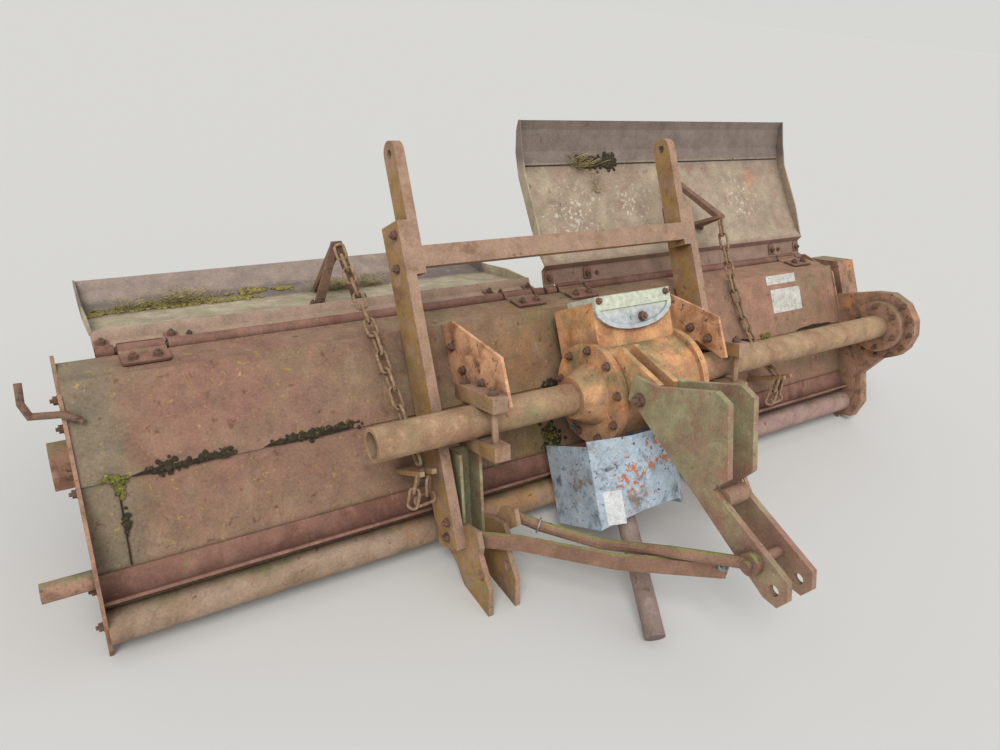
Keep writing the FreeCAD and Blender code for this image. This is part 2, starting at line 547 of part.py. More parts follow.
mast_face = size("hitch_x") - size("mast_out")
bar_face = size("hitch_x") - size("tongue_gap") / 2 - size("tongue_thick")
lug_face = mast_face + size("clevis_thick")
bracket_face = mast_face + 2 * size("clevis_thick") + size("clevis_gap") + size("bracket_plate")
pin = Vector(0, size("pin_y"), size("pin_z"))
rod = rod_run([Vector(bracket_face - 10, -236, 30), Vector(935, -282, 60), Vector(1040, -345, 148), Vector(1114, -362, 322),
               pin + Vector(bar_face - 10, 0, 0)], size("rod_r"))
rod = rod.common(slab(bracket_face, bar_face))
for radius, length in ((26, 20), (size("pin_r"), 32)):
    rod = rod.fuse(Part.makeCylinder(radius, length, pin + Vector(bar_face - length, 0, 0), Vector(1, 0, 0)))
solid("brace_rod", rod)
flat = bar_run([Vector(lug_face - 20, -276, -14), Vector(872, -307, 60), Vector(1018, -370, 226), Vector(bar_face + 14, -424, 400)],
               size("brace_deep"), size("brace_thick"))
solid("brace_flat", flat.common(slab(lug_face, bar_face - 4)).cut(rod))
edge = [Vector(-size("end_plate"), y, size("hood_z") + z) for y, z in ((size("hood_rear_y") - 27, 3), (size("seam_y"), 6), (size("seam_y"), -20),
                                                                       (size("hood_rear_y") - 27, -20))]
seat = Part.Face(Part.makePolygon(edge + edge[:1])).extrude(Vector(size("end_plate"), 0, 0))
up = size("hood_z") + 3.4 + size("lock_rod_r")
rod = rod_run([Vector(28, 169, up), Vector(-7, 189, up), Vector(-60, 195, up), Vector(-71, 222, up), Vector(-69, 264, up)],
              size("lock_rod_r"))
solid("lock_rod", rod.cut(seat))

# ---- rotor ---------------------------------------------------------------------------------------
rotor = new_body("rotor", y="rotor_y", z="rotor_z")
drawn = new_sketch(rotor, offset="12")
outline(drawn, sided("0", "0", "rotor_tube_r", 12))
pad(rotor, drawn, "width - 24")
drawn = new_sketch(rotor, offset="-end_plate - bearing_length")
circle(drawn, "0", "0", "journal_r")
pad(rotor, drawn, "width + 2 * end_plate + 2 * bearing_length")
pitch = "(width - 2 * flange_first - flange_thick) / 5"
for phase in (0, 1):
    start = f"flange_first + {phase} * {pitch} / 2"
    star = []
    feet = []
    for k in range(6):
        c, s = f"cos({60 * k + 30 * phase})", f"sin({60 * k + 30 * phase})"
        for r, t in (("flange_r - 12", "-tine_width / 2"), ("rotor_r", "-tine_width / 2"),
                     ("rotor_r", "tine_width / 2"), ("flange_r - 12", "tine_width / 2")):
            star.append((f"({r}) * {c} - ({t}) * {s}", f"({r}) * {s} + ({t}) * {c}"))
        feet.append([(f"({r}) * {c} - ({t}) * {s}", f"({r}) * {s} + ({t}) * {c}") for r, t in (
            ("rotor_r - tine_thick", "-tine_width / 2"), ("rotor_r", "-tine_width / 2"),
            ("rotor_r", "tine_width / 2"), ("rotor_r - tine_thick", "tine_width / 2"))])
    drawn = new_sketch(rotor, offset=start)
    outline(drawn, star)
    made = [pad(rotor, drawn, "flange_thick")]
    for side in (0, 1):
        drawn = new_sketch(rotor, offset=f"{start} + {1 - side} * flange_thick - {1 - side} * 0.5 + {side} * 0.5")
        for foot in feet[side::2]:
            outline(drawn, foot)
        made.append(pad(rotor, drawn, "tine_foot", reversed_=bool(side)))
    rows = rotor.newObject("PartDesign::LinearPattern", f"rows_{phase}")
    rows.Originals = made
    rows.Direction = (plane(rotor, "X_Axis"), [""])
    rows.Occurrences = 6 - phase
    bind(rows, "Length", f"{pitch} * {5 - phase}")
    rotor.Tip = rows

# ---- flaps ---------------------------------------------------------------------------------------
for name in ("left", "right"):
    n = name + "_flap"
    long = "left_flap_length" if name == "left" else "(width - right_flap_x - right_flap_gap)"
    far = f"{long} - knuckle_in - knuckle_length"
    curve = (("120", "8"), ("199", "24 - cheek_deep"), ("280", "14 - cheek_deep"), ("362", "4 - cheek_deep"), ("440", "12 - cheek_deep"),
             ("500", "24 - cheek_deep + 12"), ("flap_reach", "24"))
    upper = (("knuckle_r + 6", "3"), ("64", "7"), ("76", "flap_ridge")) + curve
    lower = tuple((r, f"{up} - flap_sheet") for r, up in reversed(upper))
    flap = plate(n, upper + lower, f"{n}_x", long, y="hinge_y", z="hinge_z", turn=f"{n}_angle")
    for at in ("0", f"{long} - cheek_sheet"):
        more(flap, (("76", "flap_ridge - 3"), ("199", "24"), ("280", "14"), ("362", "4"), ("440", "12"), ("flap_reach", "27"))
             + tuple((r, f"{up} - 3") for r, up in reversed(curve)), at, "cheek_sheet")
    foot = "(8 + (bracket_r - bracket_thick - 120) * (16 - cheek_deep) / 79 + 0.1)"
    frame = plate(f"flap_bracket_{name}",
                  (("-bracket_spread - bracket_bar", foot), ("-bracket_spread", foot), ("0", "bracket_high - bracket_bar"),
                   ("bracket_spread", foot), ("bracket_spread + bracket_bar", foot), ("14", "bracket_high"),
                   ("-14", "bracket_high")), f"bracket_{name}_x", "bracket_thick", y="hinge_y", z="hinge_z",
                  turn=f"{n}_angle", role="XZ_Plane", start="-bracket_r")
    more(frame, (("bracket_r - 2", "bracket_high - bracket_bar"), ("bracket_r - 2", "bracket_high"), ("346", "6.1 - cheek_deep"),
                 ("324", "8.8 - cheek_deep")), "-bracket_bar / 2", "bracket_bar")
    for at, reach in (("0", "knuckle_in - knuckle_gap"), ("knuckle_in + knuckle_length + knuckle_gap",
                      f"{long} - 2 * (knuckle_in + knuckle_length + knuckle_gap)"),
                      (f"{long} - knuckle_in + knuckle_gap", "knuckle_in - knuckle_gap")):
        more(flap, (("10", "3"), ("knuckle_r + 14", "3.5"), ("knuckle_r + 14", "-1.5"), ("10", "-2")), at, reach)
        more(flap, sided("0", "0", "knuckle_r", 8), at, reach, (("0", "0", "hinge_rod_r + hinge_play"),))
    body = doc.getObject("hood_rear_panel")
    for at in ("knuckle_in", far):
        more(body, (("hinge_y - 27", "hinge_z + 40"), ("hinge_y - 19", "hinge_z + 40"), ("hinge_y + 2", "hinge_z + 12"),
                    ("hinge_y - 12", "hinge_z + 5")), f"{n}_x + {at}", "knuckle_length")
        more(body, sided("hinge_y", "hinge_z", "knuckle_r", 8), f"{n}_x + {at}", "knuckle_length")
    more(body, (), f"{n}_x", long, (("hinge_y", "hinge_z", "hinge_rod_r"),))

# ---- power shaft ---------------------------------------------------------------------------------
fall = "(cos(pto_slew) * sin(pto_drop))"
drop_z = "(input_y * sin(tip_angle) + input_z * cos(tip_angle) + tube_height)"
shaft = new_body("pto_shaft", x="hitch_x", y="input_y", z="input_z", turn="90 + pto_drop - tip_angle")
for first, radius, length in (
        ("joint_boss_r - 8", "neck_shaft_r", "neck_start + 6 - joint_boss_r"),
        ("neck_start", "pto_r", f"({drop_z} - pto_r * sqrt(1 - {fall}^2) - 0.3) / {fall} - neck_start")):
    drawn = new_sketch(shaft, "XY_Plane")
    drawn.AttachmentOffset = Placement(Vector(0, 0, 0), Rotation(Vector(0, -1, 0), 19))
    bind(drawn, "AttachmentOffset.Base.x", f"-({first}) * sin(pto_slew)")
    bind(drawn, "AttachmentOffset.Base.z", f"({first}) * cos(pto_slew)")
    bind(drawn, "AttachmentOffset.Rotation.Angle", "pto_slew")
    circle(drawn, "0", "0", radius)
    pad(shaft, drawn, length)
drawn = new_sketch(shaft, offset="-joint_boss_length / 2")
circle(drawn, "0", "0", "joint_boss_r")
pad(shaft, drawn, "joint_boss_length")
drawn = new_sketch(shaft, offset="-joint_boss_length / 2 - 12")
circle(drawn, "0", "0", "joint_pin_r + joint_play")
pad(shaft, drawn, "joint_boss_length + 24", "Pocket", True)
side = "(fork_gap / 2 + fork_ear)"
ear = (("fork_reach", "-fork_r"), ("0", "-fork_r"), ("-0.707 * fork_r", "-0.707 * fork_r"), ("-fork_r", "0"),
       ("-0.707 * fork_r", "0.707 * fork_r"), ("0", "fork_r"), ("fork_reach", "fork_r"))
fork = plate("input_fork", ear, f"hitch_x - {side}", "fork_ear", y="input_y", z="input_z")
more(fork, (("fork_reach - 10", "-fork_r"), ("fork_reach", "-fork_r"), ("fork_reach", "fork_r"), ("fork_reach - 10", "fork_r")), "0",
     f"2 * {side}")
more(fork, ear, "fork_ear + fork_gap", "fork_ear")
more(fork, (), "0", f"2 * {side}", (("0", "0", "joint_pin_r"),))
more(fork, (), "box_drum_r + input_y", "-input_y - box_drum_r - fork_reach + 5", ((side, "0", "input_r"),), "XZ_Plane")

doc.recompute()

# ---- chains --------------------------------------------------------------------------------------
def spot(x, y, z):
    """A point of the level machine, where it lies once the machine is tipped."""
    tipped = Rotation(Vector(1, 0, 0), size("tip_angle")).multVec(Vector(0, y, z))
    return Vector(x - size("middle_x"), tipped.y - size("middle_y"), tipped.z + size("tube_height"))


def on_flap(name, reach, high):
    """A point of a flap's own profile, in the level machine's directions."""
    turned = Rotation(Vector(1, 0, 0), size(f"{name}_flap_angle")).multVec(Vector(0, reach, high))
    return turned.y + size("hinge_y"), turned.z + size("hinge_z")


def link():
    """One link, along X, flat in XY."""
    wire, half, wide = size("chain_wire"), size("chain_pitch") / 2 + 0.2, 8
    faces = []
    for grow in (wire, 0):
        a, b, c = half + grow, wide + grow, (wide + grow) * 0.45
        ring = [Vector(x, y, 0) for x, y in ((a, c), (a - b + c, b), (b - a - c, b), (-a, c), (-a, -c), (b - a - c, -b),
                                             (a - b + c, -b), (a, -c))]
        faces.append(Part.Face(Part.makePolygon(ring + ring[:1])).extrude(Vector(0, 0, wire)))
    return faces[0].cut(faces[1]).translated(Vector(0, 0, -wire / 2))


def chain(points, count, roll=0):
    """Links along a line of points."""
    pitch = size("chain_pitch")
    links, done, k = [], 0, 0
    for a, b in zip(points, points[1:]):
        step = b - a
        while (k + 0.5) * pitch - done <= step.Length and k < count:
            along = Vector(step).normalize()
            middle = a + along * ((k + 0.5) * pitch - done)
            piece = link()
            piece.rotate(Vector(), Vector(1, 0, 0), roll + 90 * (k % 2))
            piece.Placement = Placement(middle, Rotation(Vector(1, 0, 0), along)) * piece.Placement
            links.append(piece)
            k += 1
        done += step.Length
    return links


def loop(top, drop):
    """Spare links hanging from a point and back."""
    down, side = Vector(0, 0, -1), Vector(1, 0.1, 0).normalize()
    low = top + down * drop
    return chain([top, low - side * 10, low + side * 34, top + side * 28 + down * 6], 5, 45)


for name, rise in (("left", 0), ("right", size("chain_sag"))):
    bracket = doc.getObject(f"flap_bracket_{name}").Shape
    claw = doc.getObject(f"chain_claw_{name}").Shape
    start = spot(size(f"bracket_{name}_x"), *on_flap(name, size("bracket_r") - size("bracket_thick") - 4, size("bracket_high") - 10))
    end = spot(size(f"claw_{name}_x") + size("claw_width") / 2, size("claw_y") - size("claw_thick") / 2, size("claw_top") - 36)
    if name == "left":
        path = [start, spot(676, size("hood_rear_y") + 2, size("hood_z") + 20), end]
    else:
        path = [start + (end - start) * k * 0.05 - Vector(0, 0, 1) * rise * 4 * k * 0.05 * (1 - k * 0.05) for k in range(21)]
    prong = spot(size(f"claw_{name}_x") + 6, size("claw_y") - size("claw_thick") / 2, size("claw_top") - 24)
    links = chain(path, 40, 45) + loop(prong, 84)
    trimmed = [piece.cut(bracket).cut(claw) for piece in links]
    item = doc.addObject("Part::Feature", f"chain_{name}")
    item.Label = f"chain_{name}"
    item.Shape = Part.Compound([max(piece.Solids, key=lambda one: one.Volume) for piece in trimmed])

doc.recompute()
bad = [o.Name for o in doc.Objects if "Invalid" in o.State or "Error" in o.State or "Touched" in o.State]
print("bad", bad)

os.makedirs("parts", exist_ok=True)
total = None
for item in doc.Objects:
    if item.TypeId not in ("PartDesign::Body", "Part::Feature"):
        continue
    shape = item.Shape
    if not shape.Solids or not shape.isValid():
        raise SystemExit(f"{item.Label} has no valid solid")
    shape.exportStep(f"parts/{item.Label}.step")
    box = shape.BoundBox
    total = box if total is None else total.united(box)
print("nodes", len([o for o in doc.Objects if o.TypeId in ("PartDesign::Body", "Part::Feature")]))
print("box", [round(v, 1) for v in (total.XMin, total.XMax, total.YMin, total.YMax, total.ZMin, total.ZMax)])
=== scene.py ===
"""Looks of an old rotary cultivator, parked tipped forward on its clevises and rotor.

Places are given in the level machine's own millimetres: across from the left end plate, back and up
from the axis of the long drive tube. spot() puts them where they lie on the tipped machine.
"""
import math
import random

import bmesh
import bpy
import numpy as np
from mathutils import Matrix, Vector


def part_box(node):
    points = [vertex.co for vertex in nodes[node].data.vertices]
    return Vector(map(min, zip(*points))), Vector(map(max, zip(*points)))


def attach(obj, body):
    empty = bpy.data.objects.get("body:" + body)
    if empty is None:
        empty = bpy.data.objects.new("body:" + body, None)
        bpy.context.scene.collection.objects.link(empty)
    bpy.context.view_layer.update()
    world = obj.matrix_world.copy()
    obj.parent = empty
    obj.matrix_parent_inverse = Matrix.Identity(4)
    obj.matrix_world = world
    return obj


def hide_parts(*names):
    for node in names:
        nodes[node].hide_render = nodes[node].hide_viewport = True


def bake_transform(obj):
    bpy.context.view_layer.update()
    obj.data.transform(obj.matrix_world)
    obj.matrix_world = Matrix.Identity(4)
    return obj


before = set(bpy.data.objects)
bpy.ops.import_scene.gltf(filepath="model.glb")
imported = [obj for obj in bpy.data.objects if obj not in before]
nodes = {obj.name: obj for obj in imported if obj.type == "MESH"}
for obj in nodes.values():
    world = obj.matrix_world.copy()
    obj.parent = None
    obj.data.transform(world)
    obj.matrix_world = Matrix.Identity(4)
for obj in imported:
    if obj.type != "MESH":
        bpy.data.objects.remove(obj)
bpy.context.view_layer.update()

MM = 0.001
TIP = math.radians(60)  # how far the parked machine is tipped forward
HINGE_BACK, HINGE_UP = 309, -276  # the flaps' hinge line
FLAP_TURN = {"left": math.radians(-65), "right": 0.0}  # each flap's turn on the level machine, as parked
FLAP_ENDS = {"left": (78, 1296), "right": (1306, 2540)}  # where each flap's sheet starts and ends across
BRACKET_ACROSS = {"left": 702, "right": 1948}  # middle of each flap's chain bracket
HOOD_UP, PANEL_EDGE = -154, 35  # outside of the upper hood sheet, and its front edge at the lap

left_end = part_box("front_tube")[0].x
axis_low, axis_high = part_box("drive_tube_left")
axis_y, axis_z = (axis_low.y + axis_high.y) / 2, (axis_low.z + axis_high.z) / 2


def turned(turn, back, up):
    """Two distances, turned about the machine's width."""
    return back * math.cos(turn) - up * math.sin(turn), back * math.sin(turn) + up * math.cos(turn)


def tipped(across, back, up):
    """A direction of the level machine, as the tipped machine has it."""
    return Vector((across, *turned(TIP, back, up)))


def spot(across, back, up):
    """A place on the machine, in metres, from its level millimetres."""
    return Vector((left_end, axis_y, axis_z)) + tipped(across, back, up) * MM


def on_flap(side, across, reach, up):
    """A place on a flap, from its distance to the hinge and its height over the hinge."""
    back, rise = turned(FLAP_TURN[side], reach, up)
    return spot(across, HINGE_BACK + back, HINGE_UP + rise)


def flap_way(side, reach, up):
    """A direction on a flap: away from its hinge, and out of its sheet."""
    return tipped(0, *turned(FLAP_TURN[side], reach, up))


# Materials

def colour(text):
    """sRGB hex to a linear colour."""
    parts = [int(text[i:i + 2], 16) / 255 for i in (1, 3, 5)]
    return [p / 12.92 if p <= 0.04045 else ((p + 0.055) / 1.055) ** 2.4 for p in parts] + [1.0]


def add(tree, kind, links=None, **settings):
    """A node with its settings, and its inputs as values or as links from other nodes' sockets."""
    made = tree.nodes.new(kind)
    for key, value in settings.items():
        setattr(made, key, value)
    for key, value in (links or {}).items():
        if isinstance(value, bpy.types.NodeSocket):
            tree.links.new(value, made.inputs[key])
        else:
            made.inputs[key].default_value = value
    return made


RUN_STRETCH = (1, 1, 0.16)  # drips are six times as long as they are wide
FADE = 0.3  # how much a near layer loses over its reach
RAGGED = 1.6  # how far the edge of an along layer wanders, in widths of that edge
WIDER = 9  # the grain's second pattern is this much wider
NOOK_REACH = 0.07  # metres over which nooks get painted shade, from ambient occlusion


def weathered(name, base, layers, rough=0.78, metallic=0.0, bump=0.25, grain=5.5):
    """Painted or bare metal after years outdoors.

    Each layer is (colour, kind, size in mm, low, high): it shows where its pattern passes from low to
    high. patches are blots, runs are drips down the parked machine, top is what settles on faces that
    look up, side is what faces across the machine. Two more kinds also say where: near is patches that
    thin out with the distance from a place, along is what lies past a place in a direction.
    The grain, in mm, is drawn coarser than real rust pitting so that it shows. Nooks are darker with
    painted shade: ambient occlusion darkens the colour in creases and corners.
    """
    made = bpy.data.materials.new(name)
    made.use_nodes = True
    tree = made.node_tree
    tree.nodes.clear()
    place = add(tree, "ShaderNodeTexCoord").outputs["Object"]
    normal = add(tree, "ShaderNodeNewGeometry").outputs["Normal"]
    shade = colour(base)
    for k, (hue, kind, size, low, high, *where) in enumerate(layers):
        moved = add(tree, "ShaderNodeMapping", {"Vector": place, "Location": (1.7 * k, 0.9 * k, 2.3 * k),
                                                "Scale": RUN_STRETCH if kind == "runs" else (1, 1, 1)})
        pattern = {"Vector": moved.outputs[0], "Scale": 1000 / size}
        if kind in ("top", "side"):
            facing = add(tree, "ShaderNodeSeparateXYZ", {"Vector": normal}).outputs[2 if kind == "top" else 0]
            if kind == "side":
                facing = add(tree, "ShaderNodeMath", {0: facing}, operation="ABSOLUTE").outputs[0]
            noise = add(tree, "ShaderNodeTexNoise", {**pattern, "Detail": 5.0, "Roughness": 0.6}).outputs[0]
            value = add(tree, "ShaderNodeMath", {0: facing, 1: noise}, operation="MULTIPLY").outputs[0]
        else:
            blots = {**pattern, "Detail": 7.0, "Roughness": 0.62, "Distortion": 0.4}
            value = add(tree, "ShaderNodeTexNoise", blots).outputs[0]
        if kind == "near":
            middle, reach = where
            gone = add(tree, "ShaderNodeVectorMath", {0: place, 1: middle}, operation="DISTANCE").outputs[1]
            thin = add(tree, "ShaderNodeMath", {0: gone, 1: -FADE / reach}, operation="MULTIPLY").outputs[0]
            value = add(tree, "ShaderNodeMath", {0: value, 1: thin}, operation="ADD").outputs[0]
        if kind == "along":
            edge, way = where
            wander = abs(high - low) * RAGGED
            value = add(tree, "ShaderNodeMath", {0: value, 1: wander}, operation="MULTIPLY").outputs[0]
            gone = add(tree, "ShaderNodeVectorMath", {0: place, 1: way}, operation="DOT_PRODUCT").outputs[1]
            value = add(tree, "ShaderNodeMath", {0: gone, 1: value}, operation="ADD").outputs[0]
            passed = edge.dot(Vector(way)) + wander / 2
            low, high = low + passed, high + passed
        mask = add(tree, "ShaderNodeMapRange", {"Value": value, "From Min": low, "From Max": high}).outputs[0]
        layered = add(tree, "ShaderNodeMix", {"Factor": mask, 6: shade, 7: colour(hue)}, data_type="RGBA")
        shade = layered.outputs[2]
    fine = add(tree, "ShaderNodeTexNoise", {"Vector": place, "Scale": 1000 / grain, "Detail": 4.0,
                                            "Roughness": 0.7})
    wide = add(tree, "ShaderNodeTexNoise", {"Vector": place, "Scale": 1000 / (grain * WIDER), "Detail": 6.0,
                                            "Roughness": 0.6})
    height = add(tree, "ShaderNodeMath", {0: fine.outputs[0], 1: wide.outputs[0]}, operation="ADD").outputs[0]
    raised = add(tree, "ShaderNodeBump", {"Height": height, "Strength": bump, "Distance": 0.0012})
    tone = add(tree, "ShaderNodeMapRange", {"Value": height, "From Min": 0.74, "From Max": 1.26,
                                            "To Min": 0.7, "To Max": 1.24}).outputs[0]
    # painted shade: ambient occlusion darkens the colour in nooks, creases and between parts, times the
    # grain's tone
    nook = add(tree, "ShaderNodeAmbientOcclusion", {"Distance": NOOK_REACH}, samples=6, only_local=False)
    painted_shade = add(tree, "ShaderNodeMapRange", {"Value": nook.outputs["AO"], "From Min": 0.25, "From Max": 0.9,
                                             "To Min": 0.5, "To Max": 1.0}).outputs[0]
    grain_and_shade = add(tree, "ShaderNodeMath", {0: tone, 1: painted_shade}, operation="MULTIPLY").outputs[0]
    colour_grain_and_shade = add(tree, "ShaderNodeMix", {"Factor": 1.0, 6: shade, 7: grain_and_shade}, data_type="RGBA",
                blend_type="MULTIPLY").outputs[2]
    gloss = add(tree, "ShaderNodeMapRange", {"Value": wide.outputs[0], "To Min": rough - 0.1,
                                             "To Max": rough + 0.12}).outputs[0]
    shader = add(tree, "ShaderNodeBsdfPrincipled", {"Base Color": colour_grain_and_shade, "Roughness": gloss,
                                                    "Metallic": metallic, "Normal": raised.outputs[0]})
    add(tree, "ShaderNodeOutputMaterial", {"Surface": shader.outputs[0]})
    return made


# Sheet steel with its red paint faded to dusty brown: redder where it was repainted, an olive film
# over the ends and round the gearbox, drip marks, small rust spots and yellow lichen
hood_steel = weathered("faded_red_paint_on_sheet", "#92775f", (
    ("#876650", "patches", 230, 0.44, 0.64),
    ("#a28b72", "runs", 50, 0.54, 0.78),
    ("#85795a", "patches", 300, 0.52, 0.7),
    ("#936a5a", "near", 120, 0.22, 0.62, spot(330, 150, -154), 0.5),
    ("#ab806b", "near", 120, 0.16, 0.56, spot(2150, 130, -154), 0.5),
    ("#8e6a5a", "near", 120, 0.3, 0.66, spot(600, -20, -160), 0.4),
    ("#877761", "along", 60, -0.02, 0.02, spot(92, 0, 0), (-1, 0, 0)),
    ("#8a7d50", "near", 50, 0.34, 0.6, spot(1200, 215, -154), 0.22),
    ("#9a7450", "near", 60, 0.3, 0.6, spot(1080, 120, -154), 0.3),
    ("#8a744a", "near", 60, 0.3, 0.6, spot(1120, -60, -170), 0.2),
    ("#74503b", "patches", 24, 0.6, 0.7),
    ("#a8904f", "patches", 15, 0.62, 0.67),
    ("#b08d45", "patches", 9, 0.66, 0.7),
    ("#b5a797", "patches", 8, 0.69, 0.73)))
# Left flap, outside up: tan lichen over the sheet, brown at its rolled edge, dark towards its lip
left_flap_steel = weathered("lichened_flap_sheet", "#b5a88c", (
    ("#a3917a", "patches", 160, 0.42, 0.64),
    ("#c0b699", "patches", 60, 0.52, 0.66),
    ("#a09a74", "patches", 120, 0.58, 0.7),
    ("#ad927d", "along", 60, -0.008, 0.008, on_flap("left", 600, 84, 28), flap_way("left", -1, 0)),
    ("#8f6b5c", "along", 30, -0.004, 0.004, on_flap("left", 600, 20, 8), flap_way("left", -1, 0)),
    ("#7c6f66", "along", 60, -0.02, 0.02, on_flap("left", 600, 330, -24), flap_way("left", 1, 0)),
    ("#9a887c", "along", 40, -0.01, 0.01, on_flap("left", 600, 440, -18), flap_way("left", 1, 0)),
    ("#86604f", "patches", 26, 0.63, 0.72),
    ("#d3cab2", "patches", 10, 0.66, 0.72)))
# Right flap, stood up: grey-brown lip, pale green-tan lichen below it, rust where the lichen stops
right_flap_steel = weathered("lichened_raised_flap", "#ad9a84", (
    ("#a08a77", "patches", 200, 0.44, 0.64),
    ("#b3a78a", "runs", 120, 0.5, 0.7),
    ("#a38370", "patches", 90, 0.57, 0.7),
    ("#85766c", "along", 60, -0.02, 0.02, on_flap("right", 1900, 392, -22), flap_way("right", 1, 0)),
    ("#9b7f6e", "along", 50, -0.01, 0.01, on_flap("right", 1900, 84, 28), flap_way("right", -1, 0)),
    ("#d3ccb8", "near", 14, 0.5, 0.58, on_flap("right", 1480, 235, -10), 0.34),
    ("#d0c8b2", "near", 12, 0.5, 0.58, on_flap("right", 1720, 262, -14), 0.26),
    ("#c08e72", "near", 18, 0.42, 0.5, on_flap("right", 2350, 318, -20), 0.12),
    ("#cdc4ac", "near", 12, 0.5, 0.58, on_flap("right", 2270, 240, -10), 0.3),
    ("#7f5c4a", "patches", 24, 0.63, 0.72),
    ("#c9c0a8", "patches", 9, 0.68, 0.74)))
# Drive tube, matt tan paint with drips and small rust spots
tube_steel = weathered("tan_tube_paint", "#ac8d6c", (
    ("#99755a", "patches", 120, 0.48, 0.64),
    ("#b79f80", "runs", 24, 0.56, 0.76),
    ("#8a5b42", "patches", 24, 0.63, 0.71),
    ("#8f8760", "patches", 160, 0.6, 0.72),
    ("#c9bb9f", "patches", 8, 0.7, 0.74)))
# Front tube, ochre brown at one end, purple-pink rust at the other
front_steel = weathered("purple_rust_on_tube", "#a58c76", (
    ("#937860", "patches", 200, 0.46, 0.62),
    ("#a3857b", "along", 200, -0.3, 0.3, spot(1500, 0, 0), (1, 0, 0)),
    ("#b08358", "near", 60, 0.3, 0.55, spot(1000, -230, -200), 0.4),
    ("#6d4434", "patches", 24, 0.62, 0.7),
    ("#7f7a50", "top", 90, 0.46, 0.66)))
# Angle strip on the hood, dark red rust
strip_steel = weathered("dark_red_strip", "#8e6757", (
    ("#7c5446", "patches", 120, 0.48, 0.62),
    ("#9c7565", "runs", 40, 0.54, 0.7),
    ("#857b50", "patches", 60, 0.64, 0.72)))
# Castings in dusty faded orange, brown film where oil held the dirt, olive on top
orange_cast = weathered("faded_orange_on_casting", "#e2aa76", (
    ("#bd8259", "patches", 110, 0.46, 0.62),
    ("#dcae82", "patches", 60, 0.55, 0.7),
    ("#a08f62", "patches", 120, 0.54, 0.68),
    ("#ab8c70", "near", 40, 0.26, 0.58, spot(1200, -40, 0), 0.26),
    ("#bb9674", "near", 40, 0.3, 0.6, spot(1400, -60, 40), 0.3),
    ("#94815a", "top", 60, 0.42, 0.62),
    ("#82583f", "patches", 18, 0.61, 0.69),
    ("#e3c7a2", "patches", 8, 0.67, 0.73)), bump=0.5, grain=5)
# Hood webs: orange at the root, dark rust along the free edge
web_steel = weathered("orange_web_plate", "#e6b188", (
    ("#b07f5c", "patches", 70, 0.46, 0.6),
    ("#c08a5c", "patches", 100, 0.52, 0.66),
    ("#5f4032", "patches", 26, 0.6, 0.68),
    ("#b5a58f", "patches", 10, 0.68, 0.73)), bump=0.5, grain=5)
# End plates and chain case, orange paint gone to brown rust
rust_orange = weathered("rusted_orange_plate", "#a8826a", (
    ("#bb8559", "patches", 110, 0.52, 0.64),
    ("#85654f", "patches", 50, 0.5, 0.64),
    ("#63493a", "patches", 20, 0.6, 0.69),
    ("#857f5c", "top", 90, 0.4, 0.62),
    ("#c4ac92", "patches", 8, 0.68, 0.74)), bump=0.5, grain=5)
# Dull cast aluminium lid, greenish film on its flat
alloy = weathered("dull_cast_aluminium", "#c6cacc", (
    ("#b0b6b9", "patches", 50, 0.48, 0.62),
    ("#d3d7c2", "along", 60, -0.01, 0.01, spot(1350, 206, 0), tipped(0, 1, 0)),
    ("#cfd2cf", "patches", 12, 0.64, 0.7),
    ("#86877c", "patches", 26, 0.64, 0.7)), rough=0.55, metallic=0.3, bump=0.3, grain=1.6)
# Galvanised guard sheet: bluish bloom, black stains, orange rust in the chips, brown at its foot
guard_steel = weathered("stained_galvanised_guard", "#b0bfcb", (
    ("#b7c3cc", "patches", 70, 0.5, 0.64),
    ("#8894a0", "patches", 45, 0.55, 0.66),
    ("#8c7f74", "patches", 90, 0.62, 0.7),
    ("#6b6c70", "patches", 60, 0.56, 0.68),
    ("#4b4746", "patches", 12, 0.6, 0.66),
    ("#b9704a", "patches", 32, 0.66, 0.69),
    ("#bb7350", "near", 16, 0.5, 0.54, spot(1190, -230, 130), 0.2),
    ("#b5714e", "near", 20, 0.46, 0.5, spot(1265, -170, 140), 0.1),
    ("#353231", "patches", 14, 0.69, 0.72)), rough=0.6, bump=0.3)
# Mast bars: ochre where they face across, dusty pink on their edges
mast_steel = weathered("ochre_and_pink_mast_bar", "#a88872", (
    ("#a5824f", "side", 60, 0.34, 0.54),
    ("#8a684a", "patches", 90, 0.54, 0.68),
    ("#9b7c58", "runs", 30, 0.56, 0.72),
    ("#6f4b38", "patches", 20, 0.64, 0.71),
    ("#8e8856", "patches", 130, 0.6, 0.72),
    ("#c3b39a", "patches", 9, 0.69, 0.73)))
# Tongue bars and gussets: grey-green lichen over red-brown rust
tongue_steel = weathered("lichen_on_rusty_bar", "#a09873", (
    ("#a07a62", "patches", 90, 0.48, 0.62),
    ("#a5a27e", "patches", 26, 0.54, 0.66),
    ("#a86d52", "patches", 60, 0.6, 0.7),
    ("#9a7563", "near", 90, 0.2, 0.5, spot(1300, -420, 500), 0.5),
    ("#c6c1a6", "patches", 9, 0.64, 0.7),
    ("#6c5140", "patches", 18, 0.64, 0.71)))
# Braces, red-brown bar with a green bloom on top
brace_steel = weathered("red_brown_brace", "#8a6854", (
    ("#9a7560", "patches", 80, 0.48, 0.62),
    ("#8c8c54", "top", 60, 0.34, 0.54),
    ("#5f4132", "patches", 22, 0.62, 0.7)))
# Bare forgings and hardware, brown rust
dark_rust = weathered("brown_rust", "#7c6150", (
    ("#8d6650", "patches", 40, 0.48, 0.62),
    ("#4a362c", "patches", 24, 0.56, 0.66),
    ("#a08672", "patches", 8, 0.66, 0.72)), bump=0.5)
# Power shaft tube, smooth dusty brown
shaft_steel = weathered("brown_shaft_tube", "#88746a", (
    ("#978376", "runs", 60, 0.5, 0.66),
    ("#654b3d", "patches", 40, 0.56, 0.68),
    ("#a18a75", "patches", 10, 0.66, 0.72)), rough=0.6, bump=0.2)
